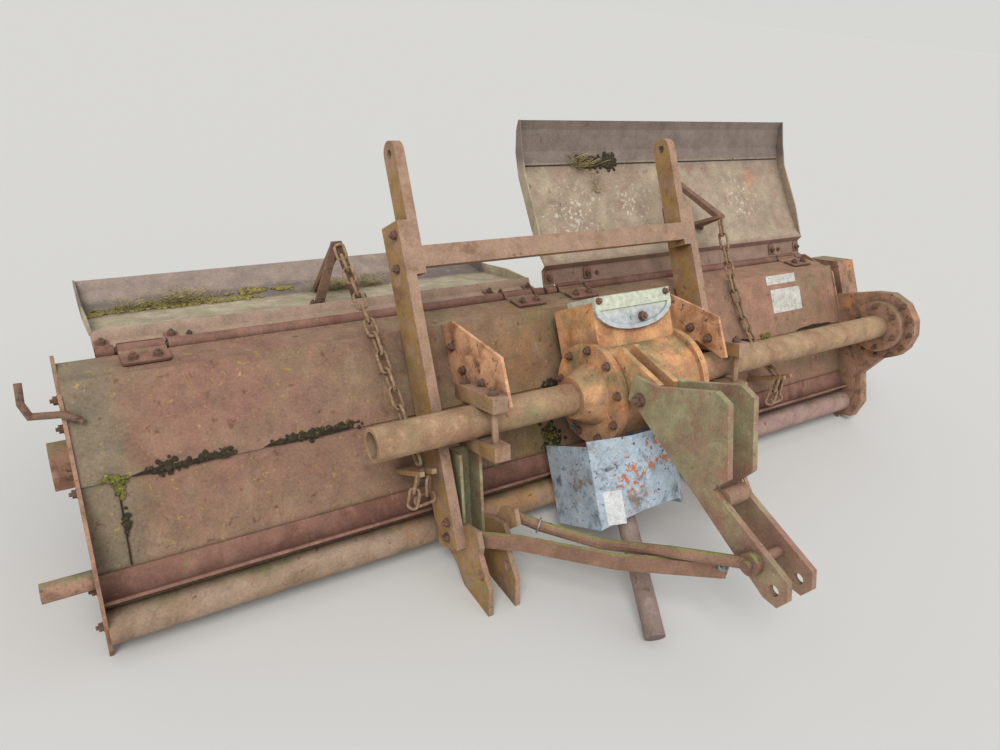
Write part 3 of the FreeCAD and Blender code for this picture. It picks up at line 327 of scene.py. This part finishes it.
# Chain, light brown surface rust
chain_steel = weathered("light_rust_chain", "#94765a", (
    ("#ad9071", "patches", 14, 0.46, 0.6),
    ("#634637", "patches", 9, 0.58, 0.68)), bump=0.4, grain=1.5)
# Zinc-plated nuts and wire, dull grey
zinc = weathered("zinc_plated_nut", "#a3abb0", (
    ("#cdd3d6", "patches", 6, 0.5, 0.62),), rough=0.42, metallic=0.6, bump=0.2, grain=1.2)
# Cushion moss, yellow-green tips on dark
moss = weathered("cushion_moss", "#6f6a30", (
    ("#95904a", "patches", 7, 0.5, 0.62),
    ("#35301f", "patches", 12, 0.52, 0.64)), rough=0.95, bump=0.9, grain=1.2)
# Moss in the seam and under the gearbox, nearly black
dark_moss = weathered("nearly_black_moss", "#3a3223", (
    ("#5d5a2b", "patches", 9, 0.54, 0.64),), rough=0.95, bump=0.9, grain=1.2)
# Dried moss in the left flap's trough, golden on dark
dry_moss = weathered("dry_golden_moss", "#94864a", (
    ("#b5a05c", "patches", 8, 0.5, 0.62),
    ("#4f4a2b", "patches", 14, 0.5, 0.62)), rough=0.95, bump=0.9, grain=1.2)
# Dead grass caught on the flaps
straw = weathered("dead_grass", "#cdbb86", (
    ("#8f7e52", "patches", 10, 0.5, 0.62),), rough=0.9, bump=0.3, grain=1.0)
# The open lap of the seam: no light gets in
gap = weathered("open_seam_shadow", "#2a211a", (
    ("#3f3023", "patches", 12, 0.5, 0.62),), rough=0.95, bump=0.6)
# Blank stuck-on labels, sun-bleached, worn through to the paint in places
label = weathered("bleached_blank_label", "#d2cfc6", (
    ("#bcb6a8", "patches", 14, 0.52, 0.64),
    ("#a09a80", "patches", 9, 0.6, 0.68)), rough=0.5, bump=0.1)
# Blank new paper label
paper = weathered("blank_paper_label", "#e3e4e4", (
    ("#cfd0cf", "patches", 20, 0.52, 0.64),), rough=0.5, bump=0.05)

FINISHES = (  # the first that a node's name starts with
    ("hood_web", web_steel), ("hood", hood_steel), ("front_angle", strip_steel), ("front_tube", front_steel),
    ("left_flap", left_flap_steel), ("right_flap", right_flap_steel), ("flap_bracket", dark_rust),
    ("drive_tube", tube_steel), ("gearbox_cover", alloy), ("gearbox", orange_cast),
    ("shaft_guard", guard_steel), ("mast", mast_steel), ("clamp", mast_steel),
    ("stand", tongue_steel), ("clevis", mast_steel),
    ("tongue", tongue_steel), ("brace", brace_steel), ("chain_case", rust_orange), ("chain_claw", mast_steel),
    ("chain", chain_steel), ("left_end", rust_orange), ("right_end", rust_orange), ("rotor", dark_rust),
    ("pto_shaft", shaft_steel))
for node, item in nodes.items():
    finish = next((material for start, material in FINISHES if node.startswith(start)), dark_rust)
    item.data.materials.clear()
    item.data.materials.append(finish)


# Repeats: a helper mesh of points carries where each copy goes, how it turns and how big it is

def points_mesh(name, places):
    """Points with their turn and size. places: (place, direction or turning matrix, size)."""
    mesh = bpy.data.meshes.new(name)
    mesh.from_pydata([place for place, way, size in places], [], [])
    turns = [way.to_euler() if isinstance(way, Matrix) else Vector(way).to_track_quat("Z", "Y").to_euler()
             for place, way, size in places]
    turn = mesh.attributes.new("turn", "FLOAT_VECTOR", "POINT")
    turn.data.foreach_set("vector", [angle for angles in turns for angle in angles])
    big = mesh.attributes.new("big", "FLOAT", "POINT")
    big.data.foreach_set("value", [size for place, way, size in places])
    return mesh


def keep(name, mesh, body, finish=None):
    """A finished piece that rides on a body. With no body given it is free."""
    if finish:
        mesh.materials.clear()
        mesh.materials.append(finish)
    item = bpy.data.objects.new(name, mesh)
    bpy.context.scene.collection.objects.link(item)
    if body:
        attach(item, body)
    return item


def repeat(name, places, shape, finish, body, sizes):
    """Copies of one shape on points, made by geometry nodes and kept as a plain mesh on its body."""
    tree = bpy.data.node_groups.new(name, "GeometryNodeTree")
    face = tree.interface
    face.new_socket("Geometry", in_out="INPUT", socket_type="NodeSocketGeometry")
    for title in sizes:
        face.new_socket(title, in_out="INPUT", socket_type="NodeSocketFloat")
    face.new_socket("Geometry", in_out="OUTPUT", socket_type="NodeSocketGeometry")
    inputs = add(tree, "NodeGroupInput")
    one = shape(tree, inputs)
    turn = add(tree, "GeometryNodeInputNamedAttribute", {"Name": "turn"}, data_type="FLOAT_VECTOR")
    rotation = add(tree, "FunctionNodeEulerToRotation", {0: turn.outputs[0]})
    big = add(tree, "GeometryNodeInputNamedAttribute", {"Name": "big"}, data_type="FLOAT")
    copies = {"Points": inputs.outputs[0], "Instance": one, "Rotation": rotation.outputs[0],
              "Scale": big.outputs[0]}
    placed = add(tree, "GeometryNodeInstanceOnPoints", copies)
    real = add(tree, "GeometryNodeRealizeInstances", {"Geometry": placed.outputs[0]})
    dressed = add(tree, "GeometryNodeSetMaterial", {"Geometry": real.outputs[0], "Material": finish})
    add(tree, "NodeGroupOutput", {"Geometry": dressed.outputs[0]})
    carrier = bpy.data.objects.new(name + "_points", points_mesh(name + "_points", places))
    bpy.context.scene.collection.objects.link(carrier)
    step = carrier.modifiers.new("repeat", "NODES")
    step.node_group = tree
    for socket in face.items_tree:
        if socket.name in sizes:
            step[socket.identifier] = sizes[socket.name]
    seen_mesh = carrier.evaluated_get(bpy.context.evaluated_depsgraph_get())
    mesh = bpy.data.meshes.new_from_object(seen_mesh)
    mesh.name = name
    bpy.data.objects.remove(carrier)
    return keep(name, mesh, body)


# Bolts

BOLT = {"Across corners": 0.021, "Head height": 0.010}


def bolt_shape(tree, given):
    """Hexagon head on a washer, with the end of its thread."""
    across, high = given.outputs["Across corners"], given.outputs["Head height"]
    joined = add(tree, "GeometryNodeJoinGeometry")
    head, washer, thread = (6, 0.5, high, 0.55), (18, 0.58, 0.003, 0.0), (10, 0.24, high, 1.15)
    for sides, share, depth, lift in (head, washer, thread):
        radius = add(tree, "ShaderNodeMath", {0: across, 1: share}, operation="MULTIPLY").outputs[0]
        bar = add(tree, "GeometryNodeMeshCylinder", {"Vertices": sides, "Radius": radius, "Depth": depth})
        rise = add(tree, "ShaderNodeMath", {0: high, 1: lift}, operation="MULTIPLY").outputs[0]
        to = add(tree, "ShaderNodeCombineXYZ", {"Z": rise}).outputs[0]
        moved = add(tree, "GeometryNodeTransform", {"Geometry": bar.outputs[0], "Translation": to})
        tree.links.new(moved.outputs[0], joined.inputs[0])
    return joined.outputs[0]


def ring(across, radius, count, start=0, spread=360):
    """Places round the drive tube's axis."""
    angles = [math.radians(start + spread * k / count) for k in range(count)]
    return [(across, radius * math.cos(a), radius * math.sin(a)) for a in angles]


LEFT, RIGHT = (-1, 0, 0), (1, 0, 0)
WIDTH = 2549  # from the left end plate's place to the right one's
mast_bolts = ((-237, -70), (-276, -86), (400, -90), (480, -70))
plate_bolts = ((220, -200), (160, -240), (80, -180), (20, -230), (-180, -175), (-260, -190))
heads = []
for way, size, places in (
        (LEFT, 1.0, ring(1195, 120, 9, 15)),  # gearbox flanges
        (RIGHT, 1.0, ring(1508, 120, 9, 15)),
        (LEFT, 0.8, ring(WIDTH - 24, 74, 6, 10)),  # drive tube's flange and the chain case
        (LEFT, 0.7, ring(WIDTH + 8, 110, 9, 60, 250)),
        (LEFT, 1.0, [(878, y, z) for y, z in ((125, -81), (87, 5), (60, -110), (190, -120))]),  # hood webs
        (LEFT, 1.1, [(1614, y, z) for y, z in ((125, -1), (86, 60), (60, -90), (190, -110))]),
        (LEFT, 1.0, [(752, y, z) for y, z in mast_bolts]),
        (RIGHT, 1.0, [(1748, y, z) for y, z in mast_bolts]),
        (LEFT, 1.5, [(1201, -22, 195)]),  # tongue's pivot
        (LEFT, 0.9, [(-8, y, z) for y, z in plate_bolts])):  # left end plate
    heads += [(spot(*place), way, size) for place in places]
CLAMP_TILT = math.radians(15)
clamp_way = tipped(0, -math.cos(CLAMP_TILT), -math.sin(CLAMP_TILT))
for middle in (854, 1699):
    for rise in (-66, 66):
        for reach, way in ((-79.5, clamp_way), (79.5, -clamp_way)):
            heads.append((spot(middle, *turned(CLAMP_TILT, reach, rise)), way, 1.1))
repeat("bolt_heads", heads, bolt_shape, dark_rust, "machine", BOLT)


# Chains: round links take the places of the plain ones

def wired(tree, line, radius, sides, caps=False):
    """Round wire along a curve."""
    section = add(tree, "GeometryNodeCurvePrimitiveCircle", {"Resolution": sides, "Radius": radius})
    swept = {"Curve": line.outputs[0], "Profile Curve": section.outputs[0], "Fill Caps": caps}
    return add(tree, "GeometryNodeCurveToMesh", swept).outputs[0]


def link_shape(tree, given):
    """Welded link."""
    loop = add(tree, "GeometryNodeCurvePrimitiveQuadrilateral", {"Width": given.outputs["Link length"],
                                                                 "Height": given.outputs["Link width"]})
    rounding = {"Curve": loop.outputs[0], "Radius": 0.0115, "Count": 4}
    bent = add(tree, "GeometryNodeFilletCurve", rounding, mode="POLY")
    return wired(tree, bent, given.outputs["Wire radius"], 8)


def islands(mesh):
    """The separate closed pieces of a mesh, each as an array of its corners."""
    owner = list(range(len(mesh.vertices)))

    def root(k):
        while owner[k] != k:
            owner[k] = owner[owner[k]]
            k = owner[k]
        return k

    same = {}
    for v in mesh.vertices:
        key = tuple(round(c, 6) for c in v.co)
        owner[root(v.index)] = root(same.setdefault(key, v.index))
    for edge in mesh.edges:
        owner[root(edge.vertices[0])] = root(edge.vertices[1])
    groups = {}
    for v in mesh.vertices:
        groups.setdefault(root(v.index), []).append(v.co)
    return [np.array(group) for group in groups.values()]


# a chain runs from its claw to the flap's bracket; its links are kept in place, on no body
CLAW_ACROSS = {"left": 706, "right": 2044}
for side in ("left", "right"):
    places = []
    for corners in islands(nodes[f"chain_{side}"].data):
        ways = np.linalg.eigh(np.cov((corners - corners.mean(0)).T))[1]
        long, wide = Vector(ways[:, 2]), Vector(ways[:, 1])
        middle = Vector((corners.max(0) + corners.min(0)) / 2)
        places.append((middle, Matrix((long, wide, long.cross(wide))).transposed(), 1.0))
    links = repeat(f"links_{side}", places, link_shape, chain_steel, None,
                   {"Link length": 0.0575, "Link width": 0.0245, "Wire radius": 0.0043})
    spot(CLAW_ACROSS[side], -98, -64)
    on_flap(side, BRACKET_ACROSS[side], 150, 160)
    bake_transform(links)
    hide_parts(f"chain_{side}")


# Plates and labels

def slab(name, body, corners, depth, finish):
    """A flat piece of even thickness: its outline, in order, and the way and distance through it."""
    count = len(corners)
    mesh = bpy.data.meshes.new(name)
    faces = [tuple(range(count))[::-1], tuple(range(count, 2 * count))]
    faces += [(k, (k + 1) % count, count + (k + 1) % count, count + k) for k in range(count)]
    mesh.from_pydata(list(corners) + [c + depth for c in corners], [], faces)
    inside_out = mesh.polygons[0].normal.dot(depth) > 0
    mesh.validate()
    if inside_out:
        mesh.flip_normals()
    return keep(name, mesh, body, finish)


def rounded(low, high, corner, steps=3):
    """Corners of a rectangle with round corners, as pairs."""
    (x0, y0), (x1, y1) = low, high
    out = []
    for cx, cy, start in ((x1 - corner, y0 + corner, -90), (x1 - corner, y1 - corner, 0),
                          (x0 + corner, y1 - corner, 90), (x0 + corner, y0 + corner, 180)):
        for k in range(steps + 1):
            a = math.radians(start + 90 * k / steps)
            out.append((cx + corner * math.cos(a), cy + corner * math.sin(a)))
    return out


up_way = tipped(0, 0, 1)
LABEL_THICK, PLATE_THICK = 0.6 * MM, 5 * MM
for name, low, high, corner in (("hood_label_upper", (2172, 214), (2330, 246), 3),
                                ("hood_label_lower", (2186, 112), (2346, 196), 4)):
    corners = [spot(x, y, HOOD_UP + 0.1) for x, y in rounded(low, high, corner)]
    slab(name, "machine", corners, up_way * LABEL_THICK, label)

# the guard's left slope, from its low edge to its high edge, as across and up
GUARD_LOW, GUARD_HIGH = Vector((1116, 0, 62)), Vector((1200, 0, 140))
slope = (GUARD_HIGH - GUARD_LOW).normalized()
out_of_slope = Vector((-slope.z, 0, slope.x))


def on_guard(along, back):
    """A place on the guard's left slope."""
    at = GUARD_LOW + slope * along + out_of_slope * 0.4
    return spot(at.x, back, at.z)


slab("guard_label", "machine", [on_guard(a, b) for a, b in rounded((18, -334), (66, -246), 3)],
     tipped(out_of_slope.x, 0, out_of_slope.z) * LABEL_THICK, paper)

# Hinge plates on the rear panel, with their bolts
REAR_TOP = (250, -161)  # back and up of the rear panel's top edge
rear_out, rear_down = Vector((0, 0.872, 0.49)), Vector((0, 0.49, -0.872))


def on_rear(across, down, out):
    """A place on the hood's rear panel, from its top edge down."""
    return spot(across, REAR_TOP[0] + rear_down.y * down + rear_out.y * out,
                REAR_TOP[1] + rear_down.z * down + rear_out.z * out)


rear_way = tipped(0, rear_out.y, rear_out.z)
hinge_bolts = []
for k, left in enumerate((122, 1152, 1350, 2396)):
    corners = [on_rear(x, down, 0.3) for x, down in rounded((left, 38), (left + 100, 92), 8)]
    slab(f"hinge_plate_{k + 1}", "machine", corners, rear_way * PLATE_THICK, strip_steel)
    hinge_bolts += [(on_rear(left + x, 62, 5), rear_way, 0.95) for x in (25, 75)]
repeat("hinge_bolts", hinge_bolts, bolt_shape, dark_rust, "machine", BOLT)


# Hinge edges, round where the solids are eight-sided

def roll(name, body, start, end, radius, centre, finish, sides=20, side_way=tipped(0, 1, 0), rise_way=up_way):
    """A round bar along a line, its ends closed: centre() places it, the two ways are square to the line."""
    cut = 1.5
    rings = []
    angles = [2 * math.pi * k / sides for k in range(sides)]
    for x, r in ((start, radius - cut), (start + cut, radius), (end - cut, radius), (end, radius - cut)):
        rings.append([centre(x) + (side_way * math.cos(a) + rise_way * math.sin(a)) * r * MM for a in angles])
    mesh = bpy.data.meshes.new(name)
    faces = []
    for low in range(0, 3 * sides, sides):
        for k in range(sides):
            after = (k + 1) % sides
            faces.append((low + sides + k, low + sides + after, low + after, low + k))
    faces += [tuple(range(sides)), tuple(range(3 * sides, 4 * sides))[::-1]]
    mesh.from_pydata([p for one in rings for p in one], [], faces)
    work = bmesh.new()
    work.from_mesh(mesh)
    bmesh.ops.recalc_face_normals(work, faces=work.faces)
    work.to_mesh(mesh)
    work.free()
    mesh.polygons.foreach_set("use_smooth", [n < 3 * sides for n in range(len(mesh.polygons))])
    return keep(name, mesh, body, finish)


def hinge_line(x):
    return spot(x, HINGE_BACK, HINGE_UP)


# Weld collar where the power shaft's tube starts, past the neck at its joint
SLEW, DROOP = math.radians(18.8), math.radians(27.6)
shaft_way = Vector((-math.sin(SLEW), -math.cos(SLEW) * math.cos(DROOP), -math.cos(SLEW) * math.sin(DROOP)))
shaft_side = shaft_way.cross(Vector((0, 0, 1))).normalized()


def shaft_line(x):
    return spot(1250, -174, -22) + shaft_way * x * MM


roll("shaft_collar", "power_shaft", 31, 43, 26.2, shaft_line, shaft_steel,
     side_way=shaft_side, rise_way=shaft_way.cross(shaft_side))

# The leaf closes the slit between a knuckle and the flap's sheet, as a part of the flap. Its section is
# given as distances from the hinge line and angles.
HINGE_ROUND = 16.3
leaf = [(r * math.cos(math.radians(a)), r * math.sin(math.radians(a))) for r, a in (
    (17.6, -8), (21.6, -6), (21.6, 9), (19.2, 14), (19.2, 34), (19.2, 54), (17.6, 54), (17.6, 34),
    (17.6, 14))]
for side, (start, end) in FLAP_ENDS.items():
    for k, (a, b) in enumerate(((start, start + 38), (start + 150, end - 150), (end - 38, end))):
        roll(f"{side}_hinge_roll_{k + 1}", f"{side}_flap", a, b, HINGE_ROUND, hinge_line, strip_steel)
    for k, (a, b) in enumerate(((start + 44, start + 144), (end - 144, end - 44))):
        roll(f"{side}_knuckle_{k + 1}", "machine", a, b, HINGE_ROUND, hinge_line, strip_steel)
        slab(f"{side}_hinge_leaf_{k + 1}", f"{side}_flap", [on_flap(side, a + 1, *p) for p in leaf],
             tipped(b - a - 2, 0, 0) * MM, strip_steel)

# Bolts on the flaps, with a pad plate under those beside the knuckles
PAD = 4
pad_outline = ((-15, 25), (15, 25), (15, 56), (9, 61), (-9, 61), (-15, 56))
for side, places in (("left", (96, 244, 1130, 1270)), ("right", (1326, 1478, 2376, 2520))):
    way = flap_way(side, 0, 1)
    for k, x in enumerate(places):
        corners = [on_flap(side, x + a, b, 3.2 + (b - 24) * 0.09) for a, b in pad_outline]
        slab(f"{side}_flap_pad_{k + 1}", f"{side}_flap", corners, way * PAD * MM, strip_steel)
    points = [(on_flap(side, x, 40, 5 + PAD), way, 0.85) for x in places]
    points += [(on_flap(side, x + 40, 40, 5), way, 0.6) for x in places[1:3]]
    points += [(on_flap(side, BRACKET_ACROSS[side] + x, 150, 4), way, 0.7) for x in (-75, 75)]
    repeat(f"{side}_flap_bolts", points, bolt_shape, dark_rust, f"{side}_flap", BOLT)


# The lap of the two hood sheets stands open in places, and moss grows in it

draw = random.Random(7)


def open_seam(name, start, end, wide):
    """A dark opening at the upper sheet's edge, from one place across to another."""
    steps = 14
    above, below = [], []
    for k in range(steps + 1):
        across = start + (end - start) * k / steps
        bulge = math.sin(math.pi * k / steps) ** 0.6
        above.append((across, PANEL_EDGE + 2 + wide * bulge * draw.uniform(0.55, 1.0)))
        below.append((across, PANEL_EDGE + 1 - 3 * bulge))
    slab(name, "machine", [spot(x, y, HOOD_UP - 0.3) for x, y in below + above[::-1]], up_way * 1.1 * MM, gap)


for k, (start, end, wide) in enumerate(((92, 300, 12), (370, 590, 15), (1700, 1800, 20), (1930, 2060, 13),
                                        (2290, 2500, 10), (1150, 1210, 14))):
    open_seam(f"open_seam_{k + 1}", start, end, wide)
slab("sheet_joint", "machine", [spot(66, 34, -157.6), spot(69, 34, -157.6), spot(66, -150, -184.5),
                                spot(63, -150, -184.5)], up_way * 1.2 * MM, gap)


def tuft_shape(tree, given):
    """A small lump of moss, a little coarser than real moss so that it shows."""
    lump = add(tree, "GeometryNodeMeshIcoSphere", {"Radius": given.outputs["Lump radius"], "Subdivisions": 2})
    lump = add(tree, "GeometryNodeTransform", {"Geometry": lump.outputs[0], "Scale": (1.0, 1.0, 0.6)})
    place = add(tree, "GeometryNodeInputPosition").outputs[0]
    noise = add(tree, "ShaderNodeTexNoise", {"Vector": place, "Scale": 420.0, "Detail": 2.0})
    size = add(tree, "ShaderNodeMath", {0: noise.outputs[0], 1: 0.9}, operation="ADD").outputs[0]
    grown = add(tree, "ShaderNodeVectorMath", {0: place, "Scale": size}, operation="SCALE").outputs[0]
    return add(tree, "GeometryNodeSetPosition", {"Geometry": lump.outputs[0], "Position": grown}).outputs[0]


THICKLY = 3  # lumps or blades for each one that a table counts


def clump(count, middle, long, wide, place, way):
    """Random places round a middle, given as pairs that place() puts on the machine."""
    out = []
    for _ in range(count * THICKLY):
        a, b = middle[0] + draw.gauss(0, long / 2), middle[1] + draw.gauss(0, wide / 2)
        out.append((place(a, b), way, draw.uniform(0.35, 1.0)))
    return out


def grown(maker, table, place, way):
    """All the clumps or tufts of a table, one after the other."""
    return [one for row in table for one in maker(*row, place, way)]


def on_hood(across, back):
    """A place on the hood's upper sheet, or on the lower sheet in front of the lap."""
    return spot(across, back, HOOD_UP + 1 if back > PANEL_EDGE else -157 + (back - PANEL_EDGE) * 0.155)


dark_clumps = ((26, (166, 42), 26, 16), (12, (250, 44), 40, 8), (16, (285, 44), 22, 12), (16, (440, 44), 40, 6),
       (20, (490, 44), 36, 10), (14, (560, 46), 40, 8), (20, (1772, 46), 44, 12), (16, (1185, 38), 30, 16),
       (10, (72, -60), 8, 26), (70, (1172, -150), 34, 70))
repeat("seam_moss", grown(clump, dark_clumps, on_hood, up_way), tuft_shape, dark_moss, "machine",
       {"Lump radius": 0.0042})
green = ((14, (64, 38), 22, 10), (12, (70, 10), 8, 30), (34, (1168, -120), 22, 46), (10, (2125, 40), 30, 10),
         (22, (1960, -190), 60, 10))
repeat("green_moss", grown(clump, green, on_hood, up_way), tuft_shape, moss, "machine",
       {"Lump radius": 0.0044})


# Moss and dead grass in the flaps' troughs

def trough(side):
    """Places in the flap's trough, from across and reach, kept off the flap's edges."""
    section = ((199, -6), (280, -16), (362, -26), (440, -18), (500, 6), (523, 24))
    low_end, high_end = FLAP_ENDS[side]

    def place(across, reach):
        across = min(max(across, low_end + 12), high_end - 12)
        reach = min(max(reach, 200), 515)
        for (r0, u0), (r1, u1) in zip(section, section[1:]):
            if r0 <= reach <= r1:
                return on_flap(side, across, reach, u0 + (u1 - u0) * (reach - r0) / (r1 - r0) + 1)
    return place


def blade_shape(tree, given):
    """One bent blade of dry grass."""
    bow = {"Resolution": 5, "Start": (0, 0, 0), "Middle": (0.004, 0, 0.03), "End": (0.04, 0.01, 0.036)}
    line = add(tree, "GeometryNodeCurveQuadraticBezier", bow)
    return wired(tree, line, given.outputs["Blade radius"], 3, caps=True)


def blades(count, middle, long, wide, place, way):
    """Random places as clump() gives them, each leaning its own way."""
    out = []
    for at, _, size in clump(count, middle, long, wide, place, way):
        lean = Vector((draw.gauss(0, 0.7), draw.gauss(0, 0.7), draw.gauss(0, 0.7)))
        out.append((at, (Vector(way) + lean).normalized(), size))
    return out


left_trough, left_way = trough("left"), flap_way("left", 0, 1)
right_trough, right_way = trough("right"), flap_way("right", 0, 1)
cushions = ((40, (101, 350), 30, 22), (30, (190, 360), 50, 18), (110, (330, 372), 80, 30),
            (60, (457, 352), 60, 18), (34, (530, 404), 50, 16), (16, (618, 398), 22, 12))
repeat("left_flap_moss", grown(clump, cushions, left_trough, left_way), tuft_shape, dry_moss, "left_flap",
       {"Lump radius": 0.0068})
cushions = ((46, (1600, 400), 60, 18), (30, (1672, 404), 26, 22))
repeat("right_flap_moss", grown(clump, cushions, right_trough, right_way), tuft_shape, dark_moss,
       "right_flap", {"Lump radius": 0.0068})
hay = ((70, (330, 378), 80, 26), (26, (190, 365), 40, 16), (90, (760, 330), 90, 24), (50, (880, 332), 70, 18))
repeat("left_flap_straw", grown(blades, hay, left_trough, left_way), blade_shape, straw, "left_flap",
       {"Blade radius": 0.0008})
hay = ((30, (1540, 396), 50, 14), (8, (1590, 330), 20, 40))
repeat("right_flap_straw", grown(blades, hay, right_trough, right_way), blade_shape, straw, "right_flap",
       {"Blade radius": 0.0009})

# Welded lap across the raised flap: a dark line with a raised edge in three stretches
corners = [right_trough(x, r) for x, r in ((1318, 394), (2530, 394), (2530, 397), (1318, 397))]
slab("flap_lap", "right_flap", corners, right_way * 0.8 * MM, gap)
for k, (start, end) in enumerate(((1318, 1500), (1700, 2100), (2280, 2530))):
    corners = [right_trough(x, r) for x, r in ((start, 397), (end, 397), (end, 405), (start, 405))]
    slab(f"flap_lap_edge_{k + 1}", "right_flap", corners, right_way * 2.2 * MM, right_flap_steel)

# Lid: rim round its D, raised flat along its back, and its bolts
rim = [(1218, 252), (1215, 215), (1220, 199), (1234, 184), (1255, 171), (1283, 161), (1316, 155), (1351, 153),
       (1387, 155), (1419, 161), (1448, 171), (1469, 184), (1483, 199), (1487, 215), (1485, 252)]
LID_ACROSS, LID_BACK, LID_UP = 1351, 240, 61
inner = [(LID_ACROSS + (x - LID_ACROSS) * 0.9, LID_BACK + (y - LID_BACK) * 0.86) for x, y in rim]
flat = [(1228, 214), (1474, 214), (1474, 250), (1228, 250)]
for name, outline in (("lid_rim", rim + inner[::-1]), ("lid_flat", flat)):
    slab(name, "machine", [spot(x, y, LID_UP) for x, y in outline], up_way * 4 * MM, alloy)
lid_bolts = [(spot(1374, 182, LID_UP), up_way, 1.15), (spot(1230, 240, LID_UP + 4), up_way, 0.8),
             (spot(1470, 240, LID_UP + 4), up_way, 0.8)]
repeat("lid_bolts", lid_bolts, bolt_shape, dark_rust, "machine", BOLT)

# Zinc-plated nuts on the braces and the gearbox flange, and a ring of wire on the rod brace
nuts = [(spot(1172, -399, 408), LEFT, 0.9), (spot(1205, -388, 467), LEFT, 0.9),
        (spot(1195, -86, -84), LEFT, 1.0)]
repeat("zinc_nuts", nuts, bolt_shape, zinc, "machine", BOLT)


def hoop_shape(tree, given):
    """A ring of wire."""
    size = {"Resolution": 28, "Radius": given.outputs["Hoop radius"]}
    loop = add(tree, "GeometryNodeCurvePrimitiveCircle", size)
    return wired(tree, loop, given.outputs["Wire radius"], 8)


hoop = (spot(928, -277, 64), tipped(155, -106, 120).normalized(), 1.0)
repeat("wire_ring", [hoop], hoop_shape, zinc, "machine", {"Hoop radius": 0.0185, "Wire radius": 0.0022})


# Floor, light and camera

HALF = 300  # metres, so that the floor's edge lies at the horizon
floor_mesh = bpy.data.meshes.new("floor")
floor_mesh.from_pydata([(-HALF, -HALF, 0), (HALF, -HALF, 0), (HALF, HALF, 0), (-HALF, HALF, 0)], [],
                       [(0, 1, 2, 3)])
floor = bpy.data.objects.new("floor", floor_mesh)
bpy.context.scene.collection.objects.link(floor)
# Matt studio floor: even, pale, keeps a soft shadow
floor_paint = bpy.data.materials.new("matt_studio_floor")
floor_paint.use_nodes = True
paint = floor_paint.node_tree.nodes["Principled BSDF"]
paint.inputs["Base Color"].default_value = colour("#d6d5d1")
paint.inputs["Roughness"].default_value = 0.95
paint.inputs["Specular IOR Level"].default_value = 0.1
floor_mesh.materials.append(floor_paint)

# The world lights softly, and is seen as a pale backdrop, also in metal and glass
world = bpy.data.worlds.new("studio")
world.use_nodes = True
sky = world.node_tree
lit = sky.nodes["Background"]
lit.inputs["Color"].default_value = colour("#f2f3f5")
lit.inputs["Strength"].default_value = 0.6
seen = add(sky, "ShaderNodeBackground", {"Color": colour("#d7d7d4"), "Strength": 1.0})
path = add(sky, "ShaderNodeLightPath").outputs
mirrored = add(sky, "ShaderNodeMath", {0: path["Is Glossy Ray"], 1: path["Is Transmission Ray"]},
               operation="MAXIMUM")
direct = add(sky, "ShaderNodeMath", {0: path["Is Camera Ray"], 1: mirrored.outputs[0]}, operation="MAXIMUM")
pick = add(sky, "ShaderNodeMixShader", {0: direct.outputs[0], 1: lit.outputs[0], 2: seen.outputs[0]})
sky.links.new(pick.outputs[0], sky.nodes["World Output"].inputs[0])
bpy.context.scene.world = world
for name, way, power, spread in (("key", (0.6, 0.7, -1.0), 1.75, 32), ("fill", (-0.8, 0.5, -0.7), 0.4, 90)):
    lamp = bpy.data.lights.new(name, "SUN")
    lamp.energy, lamp.angle = power, math.radians(spread)
    item = bpy.data.objects.new(name, lamp)
    item.rotation_euler = Vector(way).to_track_quat("-Z", "Y").to_euler()
    bpy.context.scene.collection.objects.link(item)

# The camera's place, turn and lens were worked out from the photo's perspective
camera = bpy.data.cameras.new("photo_view")
camera.lens, camera.sensor_width = 26.28, 36
seat = bpy.data.objects.new("photo_view", camera)
seat.location = (left_end, axis_y - 1.2744, 1.334)
seat.rotation_euler = [math.radians(a) for a in (62.32, -5.84, -32.12)]
bpy.context.scene.collection.objects.link(seat)
bpy.context.scene.camera = seat
bpy.context.scene.view_settings.view_transform = "Standard"
